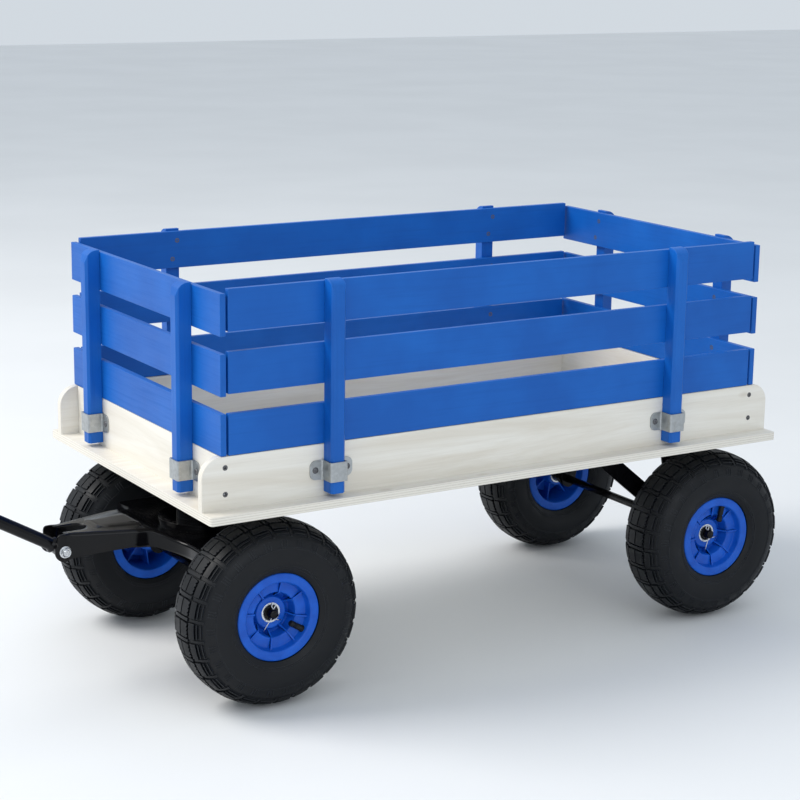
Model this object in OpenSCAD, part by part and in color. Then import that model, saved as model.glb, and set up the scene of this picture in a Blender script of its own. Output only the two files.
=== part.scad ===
// Kids pull wagon: a plywood deck with low boards, four lift-off slatted panels, air-filled
// wheels on solid axles, and a steered front axle with a drawbar and a hinged pull handle.
// Frame: +X forward to the handle, +Y left, +Z up, origin on the ground below the kingpin.

/* [Deck and boards] */
// Length of the deck
deck_len = 960; // [930:5:1000]
// Width of the deck
deck_w = 540; // [530:5:560]
// Thickness of the deck
deck_t = 12; // [12:1:15]
// Height of the deck's top face above the ground
deck_top = 293; // [293:1:300]
// How far the deck reaches ahead of the kingpin
deck_ahead = 115; // [105:1:120]
// Radius of the deck's corners
deck_corner_r = 5; // [3:1:10]
// Height of the boards above the deck
board_h = 72; // [68:1:90]
// Thickness of the boards
board_t = 12; // [12:1:15]
// Radius of the side boards' upper corners
board_corner_r = 28; // [10:1:40]
// Deck edge to the side boards
side_inset = 26; // [24:1:30]
// Deck edge to the end boards
end_inset = 28; // [26:1:32]

/* [Slatted panels] */
// Height of a slat
slat_h = 56; // [40:1:60]
// Thickness of a slat
slat_t = 8.5; // [6:0.5:10]
// Height from one side slat to the next
side_pitch = 82.2; // [64:0.1:90]
// Height from one end slat to the next
end_pitch = 79.3; // [64:0.1:90]
// Slats on a panel
slat_count = 3; // [3:1:3]
// Side of a square stake
stake_w = 22; // [20:1:24]
// Chamfer on a stake's outer edges
stake_chamfer = 3.5; // [1:0.5:5]
// Side stakes: distance from the deck's middle
side_stake_x = 288; // [200:1:320]
// End stakes: distance from the middle
end_stake_y = 150; // [100:1:170]
// Top of the side stakes above the ground
side_stake_top = 589; // [588:1:610]
// Top of the end stakes above the ground
end_stake_top = 583; // [582:1:600]

/* [Stake pockets] */
// Height of the strap
strap_h = 27; // [20:1:30]
// Thickness of the strap
strap_t = 2; // [1.5:0.5:3]
// Width over both ears
strap_w = 65; // [60:1:75]
// Deck to the strap's lower edge
strap_rise = 23; // [18:1:30]

/* [Wheels] */
// Outer radius of a tyre
tyre_r = 130; // [130:1:130]
// Width of a tyre
tyre_w = 90; // [84:1:94]
// Outer radius of a rim
rim_r = 62; // [60:1:64]
// Distance between the axles
wheelbase = 762; // [720:1:780]
// Wheel centre from the middle
wheel_y = 205; // [202:1:208]
// Radius of an axle
axle_r = 6.35; // [6:0.05:6.5]
// Radial ribs on each side of a rim
rib_count = 9; // [5:1:12]

/* [Steering and handle] */
// Kingpin to the handle's pivot bolt
pivot_x = 218; // [200:1:230]
// Height of the pivot bolt
pivot_z = 197; // [192:1:200]
// Height of the drawbar's top sheet
bar_top = 222; // [220:1:224]
// Angle of the handle at rest
handle_angle = 30; // [15:1:60]
// Radius of the handle's tube
handle_r = 9; // [8:0.5:11]
// Width of the grip loop, middle to middle
loop_w = 118; // [100:1:140]
// Length of the grip loop, middle to middle
loop_len = 86; // [70:1:100]

/* [Hidden] */
$fn = 72;
mid_x = deck_ahead - deck_len / 2;      // middle of the deck
deck_low = deck_top - deck_t;
side_y = deck_w / 2 - side_inset;       // outer face of the side boards
end_x = deck_len / 2 - end_inset;       // outer face of the end boards, from the deck's middle
groove = 1;                             // the boards stand in grooves in the deck
groove_gap = 0.1;
board_top = deck_top + board_h;
panel_gap = 0.2;                        // stakes stand this far off the boards
slat_rise = 0.5;                        // lowest slat above the board
corner_gap = 3;                         // side slats end this far behind the end slats
side_slat_half = end_x + panel_gap - slat_t - corner_gap;
end_slat_half = side_y + panel_gap;
slat_screw_len = 20;
slat_screw_dz = 14;                     // the two screws at a crossing stand this far off its middle
stake_rise = 6;                         // stake foot above the deck
pocket_gap = 0.3;                       // strap to stake
pocket_z = deck_top + strap_rise;
fit = 0.05;                             // radial clearance of a running fit
screw_r = 2;
pocket_screw_len = 10;
ear_x = strap_w / 2 - 8;                // the strap's screws, from its middle
rear_x = -wheelbase;
wheel_z = tyre_r;
hub_r = 19;
hub_out = 12.5;                         // the hub sits deep behind the rim's outer flange
hub_in = 30;
bearing_r = 14.3;
bearing_w = 8;
barrel_in = 48.5;
barrel_out = 52;
flange_in = 32.5;
flange_out = 36;
web_low = -3;
web_high = 1;
rib_t = 2.4;
rib_top = 10;
valve_r = 4;
valve_turn = 60;                        // the valve stands midway between two ribs
valve_tilt = 38;                        // its stem leans outboard
front_left_spin = 90;                   // the wheels stand at different turns
rear_left_spin = 190;
rear_right_spin = 240;
bead_in = 27;                           // half width between the beads
bulge_r = 92;                           // radius at which the tyre is widest
sheet_t = 2.5;                          // pressed steel of the drawbar
plate_t = 3;                            // pressed steel of the brackets
yoke_half_x = 67;                       // the wide plate over the front axle
yoke_half_y = 145;
yoke_top = 205;
nose_half = 27.5;
ear_r = 14.5;
nose_x = pivot_x + ear_r;
slope_x = pivot_x - 113;                // where the drawbar's sheet starts to slope down
rib_x = pivot_x - 52;
flare_r = 55;
disc_t = 4;                             // turntable discs
disc_gap = 0.5;
disc_r = 58;
kingpin_r = 6;
hanger_low_r = 14;
front_hanger_y = 142.5;                 // outer faces of the hangers
rear_hanger_y = 145;
front_hanger_half = 45;
rear_hanger_half = 41;
brace_w = 28;
brace_t = 4;
brace_reach = 186;                      // rear axle to the brace's upper end
axle_half = wheel_y + hub_out + 11;
pin_y = wheel_y + hub_out + 5.5;
bolster_low = 228;
bolster_half_x = 55;
bolster_half_y = 125;
bolt_r = 3;
pivot_r = 5;
grip_r = 14;
loop_r = 6;
loop_corner = 24;
// the handle reaches as far ahead of the kingpin as the rear tyres reach behind it
handle_len = (wheelbase + tyre_r - pivot_x - grip_r) / cos(handle_angle);

bolster_bolts = [for (x = [-40, 40], y = [-105, 105]) [x, y]];
rear_bolts = [for (x = [rear_x - 25, rear_x + 25], y = [-110, 110]) [x, y]];
brace_bolt_x = rear_x + brace_reach + 14;
brace_bolts = [for (s = [-1, 1]) [brace_bolt_x, s * (rear_hanger_y - 10)]];
deck_bolts = concat(bolster_bolts, rear_bolts, brace_bolts);
side_screw_x = [for (i = [-1, 0, 1]) mid_x + i * 300];
end_screw_y = [-120, 120];
corner_screw_z = [deck_top + 21, deck_top + 57];

// ---------- shared shapes ----------

module mirror_y() {
    children();
    mirror([0, 1, 0]) children();
}

// a box given by its corners
module span(low, high) {
    translate(low) cube(high - low);
}

// an outline drawn in X and Z, made solid from y0 to y1
module upright(y0, y1) {
    translate([0, y1, 0]) rotate([90, 0, 0]) linear_extrude(y1 - y0) children();
}

// a hexagon, such as a bolt's head or a nut, standing on the XY plane
module hexagon(flats, h) {
    cylinder(r = flats / 2 / cos(30), h = h, $fn = 6);
}

// a countersunk screw whose head is flush at the origin and whose shank runs down -Z
module flush_screw(r, len, extra = 0) {
    head = r * 1.9 + extra;
    translate([0, 0, -r]) cylinder(r1 = r + extra, r2 = head, h = r);
    translate([0, 0, -len]) cylinder(r = r + extra, h = len);
    if (extra > 0) translate([0, 0, -0.001]) cylinder(r = head, h = 1);
}

// ---------- deck and boards ----------

module deck_outline() {
    r = deck_corner_r;
    translate([mid_x, 0]) {
        square([deck_len, deck_w - 2 * r], center = true);
        square([deck_len - 2 * r, deck_w], center = true);
        for (x = [-1, 1], y = [-1, 1])
            translate([x * (deck_len / 2 - r), y * (deck_w / 2 - r)]) circle(r = r);
    }
}

module deck() {
    low = deck_top - groove;
    color("#e6dcc6")
    difference() {
        translate([0, 0, deck_low]) linear_extrude(deck_t) deck_outline();
        for (s = [-1, 1])
            translate([mid_x, s * (side_y - board_t / 2), low + 5])
                cube([deck_len + 20, board_t + 2 * groove_gap, 10], center = true);
        for (s = [-1, 1])
            translate([mid_x + s * (end_x - board_t / 2), 0, low + 5])
                cube([board_t + 2 * groove_gap, 2 * side_y - board_t, 10], center = true);
        for (p = deck_bolts)
            translate([p[0], p[1], deck_top]) flush_screw(bolt_r, deck_t + 20, fit);
        for (x = side_screw_x, s = [-1, 1])
            translate([x, s * (side_y - board_t / 2), deck_low])
                mirror([0, 0, 1]) flush_screw(screw_r, 30, fit);
        for (s = [-1, 1], y = end_screw_y)
            translate([mid_x + s * (end_x - board_t / 2), y, deck_low])
                mirror([0, 0, 1]) flush_screw(screw_r, 30, fit);
    }
}

module side_board_outline() {
    r = board_corner_r;
    low = deck_top - groove;
    translate([mid_x - deck_len / 2, low]) square([deck_len, board_top - low - r]);
    translate([mid_x - deck_len / 2 + r, low]) square([deck_len - 2 * r, board_top - low]);
    for (s = [-1, 1])
        translate([mid_x + s * (deck_len / 2 - r), board_top - r]) circle(r = r);
}

// the left board; the right one is its mirror image
module side_board() {
    color("#e9e0cc")
    difference() {
        upright(side_y - board_t, side_y) side_board_outline();
        for (x = side_screw_x)
            translate([x, side_y - board_t / 2, deck_low]) cylinder(r = screw_r + fit, h = 32.5);
        for (s = [-1, 1], z = corner_screw_z)
            translate([mid_x + s * (end_x - board_t / 2), side_y, z])
                rotate([-90, 0, 0]) flush_screw(screw_r, board_t + 10, fit);
        side_pocket_places() ear_screws(fit);
    }
}

// the front board; the rear one is its mirror image about the deck's middle
module end_board() {
    low = deck_top - groove;
    y = side_y - board_t - groove_gap;
    color("#e4dac4")
    difference() {
        span([mid_x + end_x - board_t, -y, low], [mid_x + end_x, y, board_top]);
        for (s = end_screw_y)
            translate([mid_x + end_x - board_t / 2, s, deck_low])
                cylinder(r = screw_r + fit, h = 32.5);
        for (z = corner_screw_z)
            mirror_y()
                translate([mid_x + end_x - board_t / 2, side_y, z])
                    rotate([90, 0, 0]) cylinder(r = screw_r + fit, h = 32.5);
        end_pocket_places() ear_screws(fit);
    }
}

module other_end() {
    translate([mid_x, 0, 0]) mirror([1, 0, 0]) translate([-mid_x, 0, 0]) children();
}

// ---------- stake pockets ----------

// places on the left board and on the front board; local +Y points out of the board
module side_pocket_places() {
    for (s = [-1, 1]) translate([mid_x + s * side_stake_x, side_y, pocket_z]) children();
}

module end_pocket_places() {
    for (y = [-end_stake_y, end_stake_y])
        translate([mid_x + end_x, y, pocket_z]) rotate([0, 0, -90]) children();
}

// a strap bent over the stake, with a flat ear on each side
module pocket() {
    in_x = stake_w / 2 + pocket_gap;
    in_y = stake_w + panel_gap + pocket_gap;
    r = strap_h / 2;
    end_r = 9;
    color("#a9adb0")
    difference() {
        union() {
            span([-in_x - strap_t, 0, 0], [in_x + strap_t, in_y + strap_t, strap_h]);
            span([-strap_w / 2 + end_r, 0, 0], [strap_w / 2 - end_r, strap_t, strap_h]);
            span([-strap_w / 2, 0, end_r], [strap_w / 2, strap_t, strap_h - end_r]);
            for (s = [-1, 1], z = [end_r, strap_h - end_r])
                translate([s * (strap_w / 2 - end_r), strap_t, z])
                    rotate([90, 0, 0]) cylinder(r = end_r, h = strap_t);
        }
        span([-in_x, -1, -1], [in_x, in_y, strap_h + 1]);
        for (s = [-1, 1])
            translate([s * ear_x, -1, r]) rotate([-90, 0, 0])
                cylinder(r = screw_r + fit, h = strap_t + 2);
    }
}

// the two screws of a pocket, pan heads outside the ears
module ear_screws(extra = 0) {
    for (s = [-1, 1])
        translate([s * ear_x, strap_t, strap_h / 2]) rotate([-90, 0, 0]) {
            translate([0, 0, -strap_t - pocket_screw_len - 5 * extra])
                cylinder(r = screw_r + extra, h = strap_t + pocket_screw_len + 5 * extra);
            if (extra == 0) {
                cylinder(r = 4.4, h = 1.4);
                translate([0, 0, 1.4]) cylinder(r1 = 4.4, r2 = 2.6, h = 1.2);
            }
        }
}

module side_pockets() {
    mirror_y() side_pocket_places() pocket();
}

module end_pockets() {
    end_pocket_places() pocket();
    other_end() end_pocket_places() pocket();
}

module pocket_screws() {
    color("#8f9396") {
        mirror_y() side_pocket_places() ear_screws();
        end_pocket_places() ear_screws();
        other_end() end_pocket_places() ear_screws();
    }
}

// ---------- screws and bolts of the deck ----------

module board_screws() {
    color("#8f9396") {
        for (x = side_screw_x, s = [-1, 1])
            translate([x, s * (side_y - board_t / 2), deck_low])
                mirror([0, 0, 1]) flush_screw(screw_r, 32);
        for (s = [-1, 1], y = end_screw_y)
            translate([mid_x + s * (end_x - board_t / 2), y, deck_low])
                mirror([0, 0, 1]) flush_screw(screw_r, 32);
        mirror_y()
            for (s = [-1, 1], z = corner_screw_z)
                translate([mid_x + s * (end_x - board_t / 2), side_y, z])
                    rotate([-90, 0, 0]) flush_screw(screw_r, 32);
    }
}

// a flush-headed bolt through the deck and a bracket, with its nut below
module deck_bolt(under) {
    flush_screw(bolt_r, deck_t + under + 8);
    translate([0, 0, -deck_t - under - 5])
        difference() {
            hexagon(10, 5);
            translate([0, 0, -1]) cylinder(r = bolt_r, h = 7);
        }
}

module bracket_bolts() {
    color("#b9bcbe") {
        for (p = bolster_bolts) translate([p[0], p[1], deck_top]) deck_bolt(plate_t);
        for (p = rear_bolts) translate([p[0], p[1], deck_top]) deck_bolt(plate_t);
        for (p = brace_bolts) translate([p[0], p[1], deck_top]) deck_bolt(brace_t);
    }
}

// ---------- slatted panels ----------

function side_slat_z(i) = board_top + slat_rise + i * side_pitch;
function end_slat_z(i) = board_top + slat_rise + i * end_pitch;

// local frame of a stake: +Y out of the panel, origin on the slats' outer face, on the stake's axis
module side_stake_places() {
    for (s = [-1, 1]) translate([mid_x + s * side_stake_x, side_y + panel_gap, 0]) children();
}

module end_stake_places() {
    for (y = [-end_stake_y, end_stake_y])
        translate([mid_x + end_x + panel_gap, y, 0]) rotate([0, 0, -90]) children();
}

module slat_screw(z, extra = 0) {
    for (s = [-1, 1])
        translate([s * 4, -slat_t, z + slat_h / 2 + s * slat_screw_dz])
            rotate([90, 0, 0]) flush_screw(screw_r, slat_screw_len, extra);
}

module side_slat(i) {
    z = side_slat_z(i);
    y = side_y + panel_gap;
    color("#1f57c0")
    difference() {
        span([mid_x - side_slat_half, y - slat_t, z], [mid_x + side_slat_half, y, z + slat_h]);
        side_stake_places() slat_screw(z, fit);
    }
}

module end_slat(i) {
    z = end_slat_z(i);
    x = mid_x + end_x + panel_gap;
    color("#1f57c0")
    difference() {
        span([x - slat_t, -end_slat_half, z], [x, end_slat_half, z + slat_h]);
        end_stake_places() slat_screw(z, fit);
    }
}

// square stake with chamfered outer edges and a top that rounds off towards the outside
module stake(top) {
    w = stake_w / 2;
    c = stake_chamfer;
    foot = deck_top + stake_rise;
    color("#1b4fb4")
    intersection() {
        translate([0, 0, foot]) linear_extrude(top - foot)
            polygon([[-w, 0], [w, 0], [w, 2 * w - c], [w - c, 2 * w], [c - w, 2 * w], [-w, 2 * w - c]]);
        rotate([90, 0, 90]) linear_extrude(4 * w, center = true) {
            translate([0, foot]) square([2 * w, top - foot - 1.6 * w]);
            translate([0, foot]) square([0.4 * w, top - foot]);
            translate([0.4 * w, top - 1.6 * w]) circle(r = 1.6 * w);
        }
    }
}

module side_stakes() {
    difference() {
        side_stake_places() stake(side_stake_top);
        for (i = [0:slat_count - 1]) side_stake_places() slat_screw(side_slat_z(i), fit);
    }
}

module end_stakes() {
    difference() {
        end_stake_places() stake(end_stake_top);
        for (i = [0:slat_count - 1]) end_stake_places() slat_screw(end_slat_z(i), fit);
    }
}

module side_slat_screws() {
    color("#9da1a4") for (i = [0:slat_count - 1]) side_stake_places() slat_screw(side_slat_z(i));
}

module end_slat_screws() {
    color("#9da1a4") for (i = [0:slat_count - 1]) end_stake_places() slat_screw(end_slat_z(i));
}

// ---------- wheels ----------
// A wheel is drawn about the Z axis, with +Z pointing outboard, and then laid on its axle.

module wheel_at(x, side, spin = 0) {
    translate([x, side * wheel_y, wheel_z]) rotate([-90 * side, 0, 0]) rotate([0, 0, spin]) children();
}

// half of a tyre's section, from the rim's edge to the crown, as [radius, half width]
function section(crown, half, foot, w_foot, power, steps = 7) =
    let (e = 2 / power, low = acos(pow(w_foot / half, 1 / e)))
    [for (i = [0:steps]) let (a = -low + i * (low + 90) / steps)
        [a > 0 ? bulge_r + (crown - bulge_r) * pow(sin(a), e)
               : bulge_r - (bulge_r - foot) * pow(sin(-a) / sin(low), e),
         a > 89.9 ? 0 : half * pow(cos(a), e)]];

function other_side(points) = [for (p = points) [p[0], -p[1]]];
function backward(points) = [for (i = [len(points) - 1:-1:0]) points[i]];
function tail(points) = [for (i = [1:len(points) - 1]) points[i]];
// a half section and its mirror image, from foot to foot over the crown
function ring(half) = concat(half, tail(backward(other_side(half))));

module tyre() {
    w = flange_in - 0.2;
    outer = ring(section(tyre_r, tyre_w / 2, rim_r + 0.6, flange_out, 2.4));
    inner = ring(section(tyre_r - 9, tyre_w / 2 - 6, rim_r - 1, bead_in + 1, 2.4));
    bead = [[barrel_out + 0.2, bead_in], [barrel_out + 0.2, w], [rim_r + 0.6, w]];
    color("#26292d")
    rotate_extrude()
        polygon(concat(outer, backward(other_side(bead)), backward(inner), bead));
}

// the stem's own axis: +Z runs from the tube, through the barrel, out into the rim's recess
module valve_axis() {
    rotate([0, 0, valve_turn]) translate([rim_r + 1, 0, 2]) rotate([0, -90 + valve_tilt, 0]) children();
}

module inner_tube() {
    stem = 46;
    wall = 3;
    foot = bead_in - 3;
    base = barrel_out + 0.4;
    color("#1a1b1d")
    difference() {
        union() {
            rotate_extrude()
                polygon(concat(ring(section(tyre_r - 12, tyre_w / 2 - 9, rim_r, foot, 2.3)),
                               [[base, -foot], [base, foot]]));
            valve_axis() cylinder(r = valve_r, h = stem);
            valve_axis() translate([0, 0, stem]) cylinder(r = 3, h = 3);
        }
        rotate_extrude()
            polygon(concat(ring(section(tyre_r - 12 - wall, tyre_w / 2 - 9 - wall, rim_r, foot - wall, 2.3)),
                           [[base + wall, wall - foot], [base + wall, foot - wall]]));
        valve_axis() translate([0, 0, -10]) cylinder(r = 1.2, h = stem + 20);
    }
}

module rim() {
    color("#2348c8")
    difference() {
        union() {
            rotate_extrude() polygon([
                [barrel_in, -flange_out], [rim_r, -flange_out], [rim_r, -flange_in],
                [barrel_out, -flange_in], [barrel_out, flange_in], [rim_r, flange_in],
                [rim_r, flange_out], [barrel_in, flange_out]]);
            translate([0, 0, -hub_in]) cylinder(r = hub_r, h = hub_in + hub_out);
            difference() {
                translate([0, 0, web_low]) cylinder(r = barrel_in + 1, h = web_high - web_low);
                translate([0, 0, web_low - 1]) cylinder(r = hub_r - 1, h = web_high - web_low + 2);
            }
            for (i = [0:rib_count - 1])
                rotate([0, 0, i * 360 / rib_count])
                    span([hub_r - 1, -rib_t / 2, -rib_top], [barrel_in + 0.5, rib_t / 2, rib_top]);
        }
        translate([0, 0, -hub_in - 1]) cylinder(r = bearing_r - 2.3, h = hub_in + hub_out + 2);
        translate([0, 0, hub_out - bearing_w]) cylinder(r = bearing_r + 0.02, h = bearing_w + 1);
        translate([0, 0, -hub_in - 1]) cylinder(r = bearing_r + 0.02, h = bearing_w + 1);
        valve_axis() cylinder(r = valve_r + 0.3, h = 30);
    }
}

// a sealed ball bearing, its outer face with a seal's groove at the top
module bearing() {
    difference() {
        cylinder(r = bearing_r, h = bearing_w);
        translate([0, 0, -1]) cylinder(r = axle_r + fit, h = bearing_w + 2);
        translate([0, 0, bearing_w - 0.6])
            difference() {
                cylinder(r = 12.2, h = 2);
                translate([0, 0, -1]) cylinder(r = 8.4, h = 4);
            }
    }
}

// one bearing at each end of the hub
module bearings() {
    color("#c3c6c8") {
        translate([0, 0, hub_out - bearing_w]) bearing();
        translate([0, 0, bearing_w - hub_in]) mirror([0, 0, 1]) bearing();
    }
}

// ---------- axles ----------

module axle(x) {
    tip = 1;
    color("#2b2d30")
    difference() {
        translate([x, axle_half, wheel_z]) rotate([90, 0, 0]) {
            translate([0, 0, tip]) cylinder(r = axle_r, h = 2 * (axle_half - tip));
            cylinder(r1 = axle_r - tip, r2 = axle_r, h = tip);
            translate([0, 0, 2 * axle_half - tip]) cylinder(r1 = axle_r, r2 = axle_r - tip, h = tip);
        }
        for (s = [-1, 1])
            translate([x, s * pin_y, wheel_z]) cylinder(r = 1.6, h = 30, center = true);
    }
}

// spacer tube, washer and split pin on each end of an axle, outboard of a hanger's face
module axle_ends(x, hanger_y) {
    inner_end = wheel_y - hub_in;
    outer_end = wheel_y + hub_out;
    pin_r = 1.5;
    leg = 10;
    color("#c9cccd")
    mirror_y() translate([x, 0, wheel_z]) {
        rotate([-90, 0, 0]) {
            difference() {
                union() {
                    translate([0, 0, hanger_y + 0.2]) cylinder(r = 10, h = inner_end - hanger_y - 0.5);
                    translate([0, 0, outer_end + 0.4]) cylinder(r = 11.5, h = 1.8);
                }
                cylinder(r = axle_r + fit, h = axle_half + 10);
            }
        }
        translate([0, pin_y, 0]) {
            translate([0, 0, -axle_r - 2]) cylinder(r = pin_r, h = 2 * axle_r + 4);
            translate([0, 0, axle_r + 4.4]) rotate([90, 0, 90])
                rotate_extrude() translate([3, 0]) circle(r = 1);
            for (a = [-1, 1])
                translate([a * 0.5, 0, -axle_r - 1]) rotate([0, 180 - a * 28, 0]) cylinder(r = 0.9, h = leg);
        }
    }
}

// ---------- steering ----------

module front_bolster() {
    disc_low = yoke_top + disc_t + disc_gap;
    web_x = 30;
    web_half_y = bolster_half_y - 15;
    cup_r = 34;
    color("#1c1e21")
    difference() {
        union() {
            span([-bolster_half_x, -bolster_half_y, deck_low - plate_t],
                 [bolster_half_x, bolster_half_y, deck_low]);
            for (s = [-1, 1])
                translate([s * (web_x - plate_t / 2), 0, (bolster_low + deck_low) / 2])
                    cube([plate_t, 2 * web_half_y, deck_low - bolster_low], center = true);
            span([-web_x, -web_half_y, bolster_low], [web_x, web_half_y, bolster_low + plate_t]);
            translate([0, 0, disc_low]) cylinder(r = disc_r + 2, h = disc_t);
            translate([0, 0, disc_low]) cylinder(r = cup_r, h = bolster_low - disc_low + 1);
        }
        translate([0, 0, disc_low + disc_t]) cylinder(r = cup_r - plate_t, h = bolster_low - disc_low);
        translate([0, 0, bolster_low - 1]) cylinder(r = 24, h = plate_t + 2);
        cylinder(r = kingpin_r + fit, h = deck_low);
        for (p = bolster_bolts) translate([p[0], p[1], deck_low - 10]) cylinder(r = bolt_r + fit, h = 20);
    }
}

// pivot bolt of the steering: head inside the bolster's cup, nut below the yoke
module kingpin() {
    head_z = yoke_top + 2 * disc_t + disc_gap;
    nut_top = yoke_top - sheet_t - plate_t - 2.5;
    color("#b9bcbe") {
        translate([0, 0, head_z]) hexagon(18, 8);
        translate([0, 0, nut_top - 14]) cylinder(r = kingpin_r, h = head_z - nut_top + 14);
        translate([0, 0, nut_top - 10]) hexagon(18, 10);
        translate([0, 0, nut_top]) cylinder(r = 12, h = 2);
    }
}

// side view of a hanger plate: wide at the top, round about the axle
module hanger_outline(x, half, top) {
    tilt = 8;
    a = hanger_low_r * cos(tilt);
    b = hanger_low_r * sin(tilt);
    polygon([[x - half, top], [x + half, top], [x + half, top - 12], [x + a, wheel_z + b],
             [x + a, wheel_z - b], [x - a, wheel_z - b], [x - a, wheel_z + b], [x - half, top - 12]]);
    translate([x, wheel_z]) circle(r = hanger_low_r);
}

module front_axle_bracket() {
    top = yoke_top - sheet_t;
    y = front_hanger_y;
    color("#1c1e21")
    difference() {
        union() {
            span([-front_hanger_half, -y, top - plate_t], [front_hanger_half, y, top]);
            for (s = [-1, 1])
                upright(s * y - (s + 1) / 2 * plate_t, s * y - (s - 1) / 2 * plate_t)
                    hanger_outline(0, front_hanger_half, top - 1);
        }
        translate([0, 0, top - 20]) cylinder(r = kingpin_r + fit, h = 40);
        translate([0, 0, wheel_z]) rotate([90, 0, 0])
            cylinder(r = axle_r + fit, h = 2 * y + 10, center = true);
    }
}

// plan of the drawbar: a tapering nose that flares into the wide plate over the axle
module drawbar_plan(inset = 0) {
    root_half = 55;
    root_x = yoke_half_x + flare_r;
    polygon([[nose_x, nose_half - inset], [pivot_x - 8, nose_half - inset], [root_x, root_half - inset],
             [0, root_half - inset], [0, inset - root_half], [root_x, inset - root_half],
             [pivot_x - 8, inset - nose_half], [nose_x, inset - nose_half]]);
    square([2 * (yoke_half_x - inset), 2 * (yoke_half_y - inset)], center = true);
    for (s = [-1, 1])
        difference() {
            translate([yoke_half_x - inset - 1, s * (root_half + flare_r / 2) - flare_r / 2 - 2])
                square([flare_r + 1, flare_r + 2]);
            translate([root_x, s * (root_half + flare_r)]) circle(r = flare_r + inset);
        }
}

// side view: the sheet slopes down to the wide plate, and the flanges get shallower
module sheet_side() {
    polygon([[nose_x, bar_top], [slope_x, bar_top], [yoke_half_x, yoke_top], [-yoke_half_x, yoke_top],
             [-yoke_half_x, yoke_top - sheet_t], [yoke_half_x + 1, yoke_top - sheet_t],
             [slope_x + 1, bar_top - sheet_t], [nose_x, bar_top - sheet_t]]);
}

module flange_side() {
    polygon([[nose_x, bar_top], [slope_x, bar_top], [yoke_half_x, yoke_top],
             [-yoke_half_x, yoke_top], [-yoke_half_x, yoke_top - 20], [yoke_half_x, yoke_top - 20],
             [slope_x - 7, bar_top - 27], [slope_x + 25, bar_top - 25],
             [pivot_x - 46, bar_top - 30], [pivot_x - 9, bar_top - 36], [nose_x, bar_top - 40]]);
}

// the closed end of the handle's slot is round
module handle_slot() {
    half = 16;
    x = pivot_x - 26;
    translate([x, 0, bar_top - 10]) cylinder(r = half, h = 20);
    span([x, -half, bar_top - 10], [x + 60, half, bar_top + 10]);
}

module drawbar() {
    rib_half = 20;
    color("#17181b")
    difference() {
        union() {
            intersection() {
                linear_extrude(deck_low) drawbar_plan();
                upright(-200, 200) sheet_side();
            }
            intersection() {
                linear_extrude(deck_low)
                    difference() {
                        drawbar_plan();
                        drawbar_plan(sheet_t);
                        translate([-300, 0]) square([2 * (300 + yoke_half_x - 12), 400], center = true);
                    }
                upright(-200, 200) flange_side();
            }
            translate([0, 0, bar_top - 0.01]) linear_extrude(1.61)
                polygon([[rib_x, -rib_half], [rib_x, rib_half],
                         [slope_x, rib_half + 12], [slope_x, -rib_half - 12]]);
            translate([0, 0, yoke_top - 0.01]) cylinder(r = disc_r, h = disc_t + 0.01);
        }
        difference() {
            translate([pivot_x, -50, pivot_z - 40]) cube([40, 100, 80]);
            translate([pivot_x, 0, pivot_z]) rotate([90, 0, 0]) cylinder(r = ear_r, h = 110, center = true);
            span([pivot_x - 1, -60, pivot_z], [pivot_x + ear_r - 4, 60, bar_top + 1]);
        }
        handle_slot();
        translate([pivot_x, 0, pivot_z]) rotate([90, 0, 0])
            cylinder(r = pivot_r + fit, h = 100, center = true);
        cylinder(r = kingpin_r + fit, h = deck_low);
        span([pivot_x - 1, sheet_t - nose_half, 0], [pivot_x + 60, nose_half - sheet_t, bar_top + 10]);
    }
}

// hinge bolt of the handle, with a nut and washers outside the drawbar's ears
module pivot_bolt() {
    y = nose_half + 0.2;
    color("#c3c6c8")
    translate([pivot_x, 0, pivot_z]) rotate([-90, 0, 0]) {
        translate([0, 0, -y - 8]) cylinder(r = pivot_r, h = 2 * y + 8);
        for (s = [0, 1]) mirror([0, 0, s]) translate([0, 0, y]) cylinder(r = 8.5, h = 1.2);
        translate([0, 0, y]) hexagon(13, 6);
        translate([0, 0, -y - 7.5]) hexagon(13, 7.5);
    }
}

// ---------- rear running gear ----------

module rear_axle_bracket() {
    y = rear_hanger_y;
    color("#1c1e21")
    difference() {
        union() {
            span([rear_x - rear_hanger_half, -y, deck_low - plate_t],
                 [rear_x + rear_hanger_half, y, deck_low]);
            for (s = [-1, 1])
                upright(s * y - (s + 1) / 2 * plate_t, s * y - (s - 1) / 2 * plate_t)
                    hanger_outline(rear_x, rear_hanger_half, deck_low - 1);
        }
        for (p = rear_bolts) translate([p[0], p[1], deck_low - 10]) cylinder(r = bolt_r + fit, h = 20);
        translate([rear_x, 0, wheel_z]) rotate([90, 0, 0])
            cylinder(r = axle_r + fit, h = 2 * y + 10, center = true);
    }
}

// flat bars from the axle up and forward to the deck
module rear_braces() {
    y = rear_hanger_y + 0.2;
    rise = deck_low - wheel_z;
    angle = atan2(rise, brace_reach);
    long = norm([rise, brace_reach]);
    color("#1c1e21")
    mirror_y() difference() {
        union() {
            intersection() {
                translate([rear_x, y + brace_t, wheel_z]) rotate([90, 0, 0])
                    linear_extrude(brace_t) {
                        circle(r = brace_w / 2);
                        rotate(angle) translate([0, -brace_w / 2]) square([long + brace_w, brace_w]);
                    }
                span([rear_x - 50, 0, 0], [rear_x + brace_reach + 50, y + 10, deck_low]);
            }
            span([rear_x + brace_reach, y + brace_t - brace_w, deck_low - brace_t],
                 [rear_x + brace_reach + 28, y + brace_t, deck_low]);
        }
        translate([rear_x, 0, wheel_z]) rotate([-90, 0, 0]) cylinder(r = axle_r + fit, h = y + 20);
        translate([brace_bolt_x, rear_hanger_y - 10, deck_low - 10]) cylinder(r = bolt_r + fit, h = 20);
    }
}

// ---------- handle ----------

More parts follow.
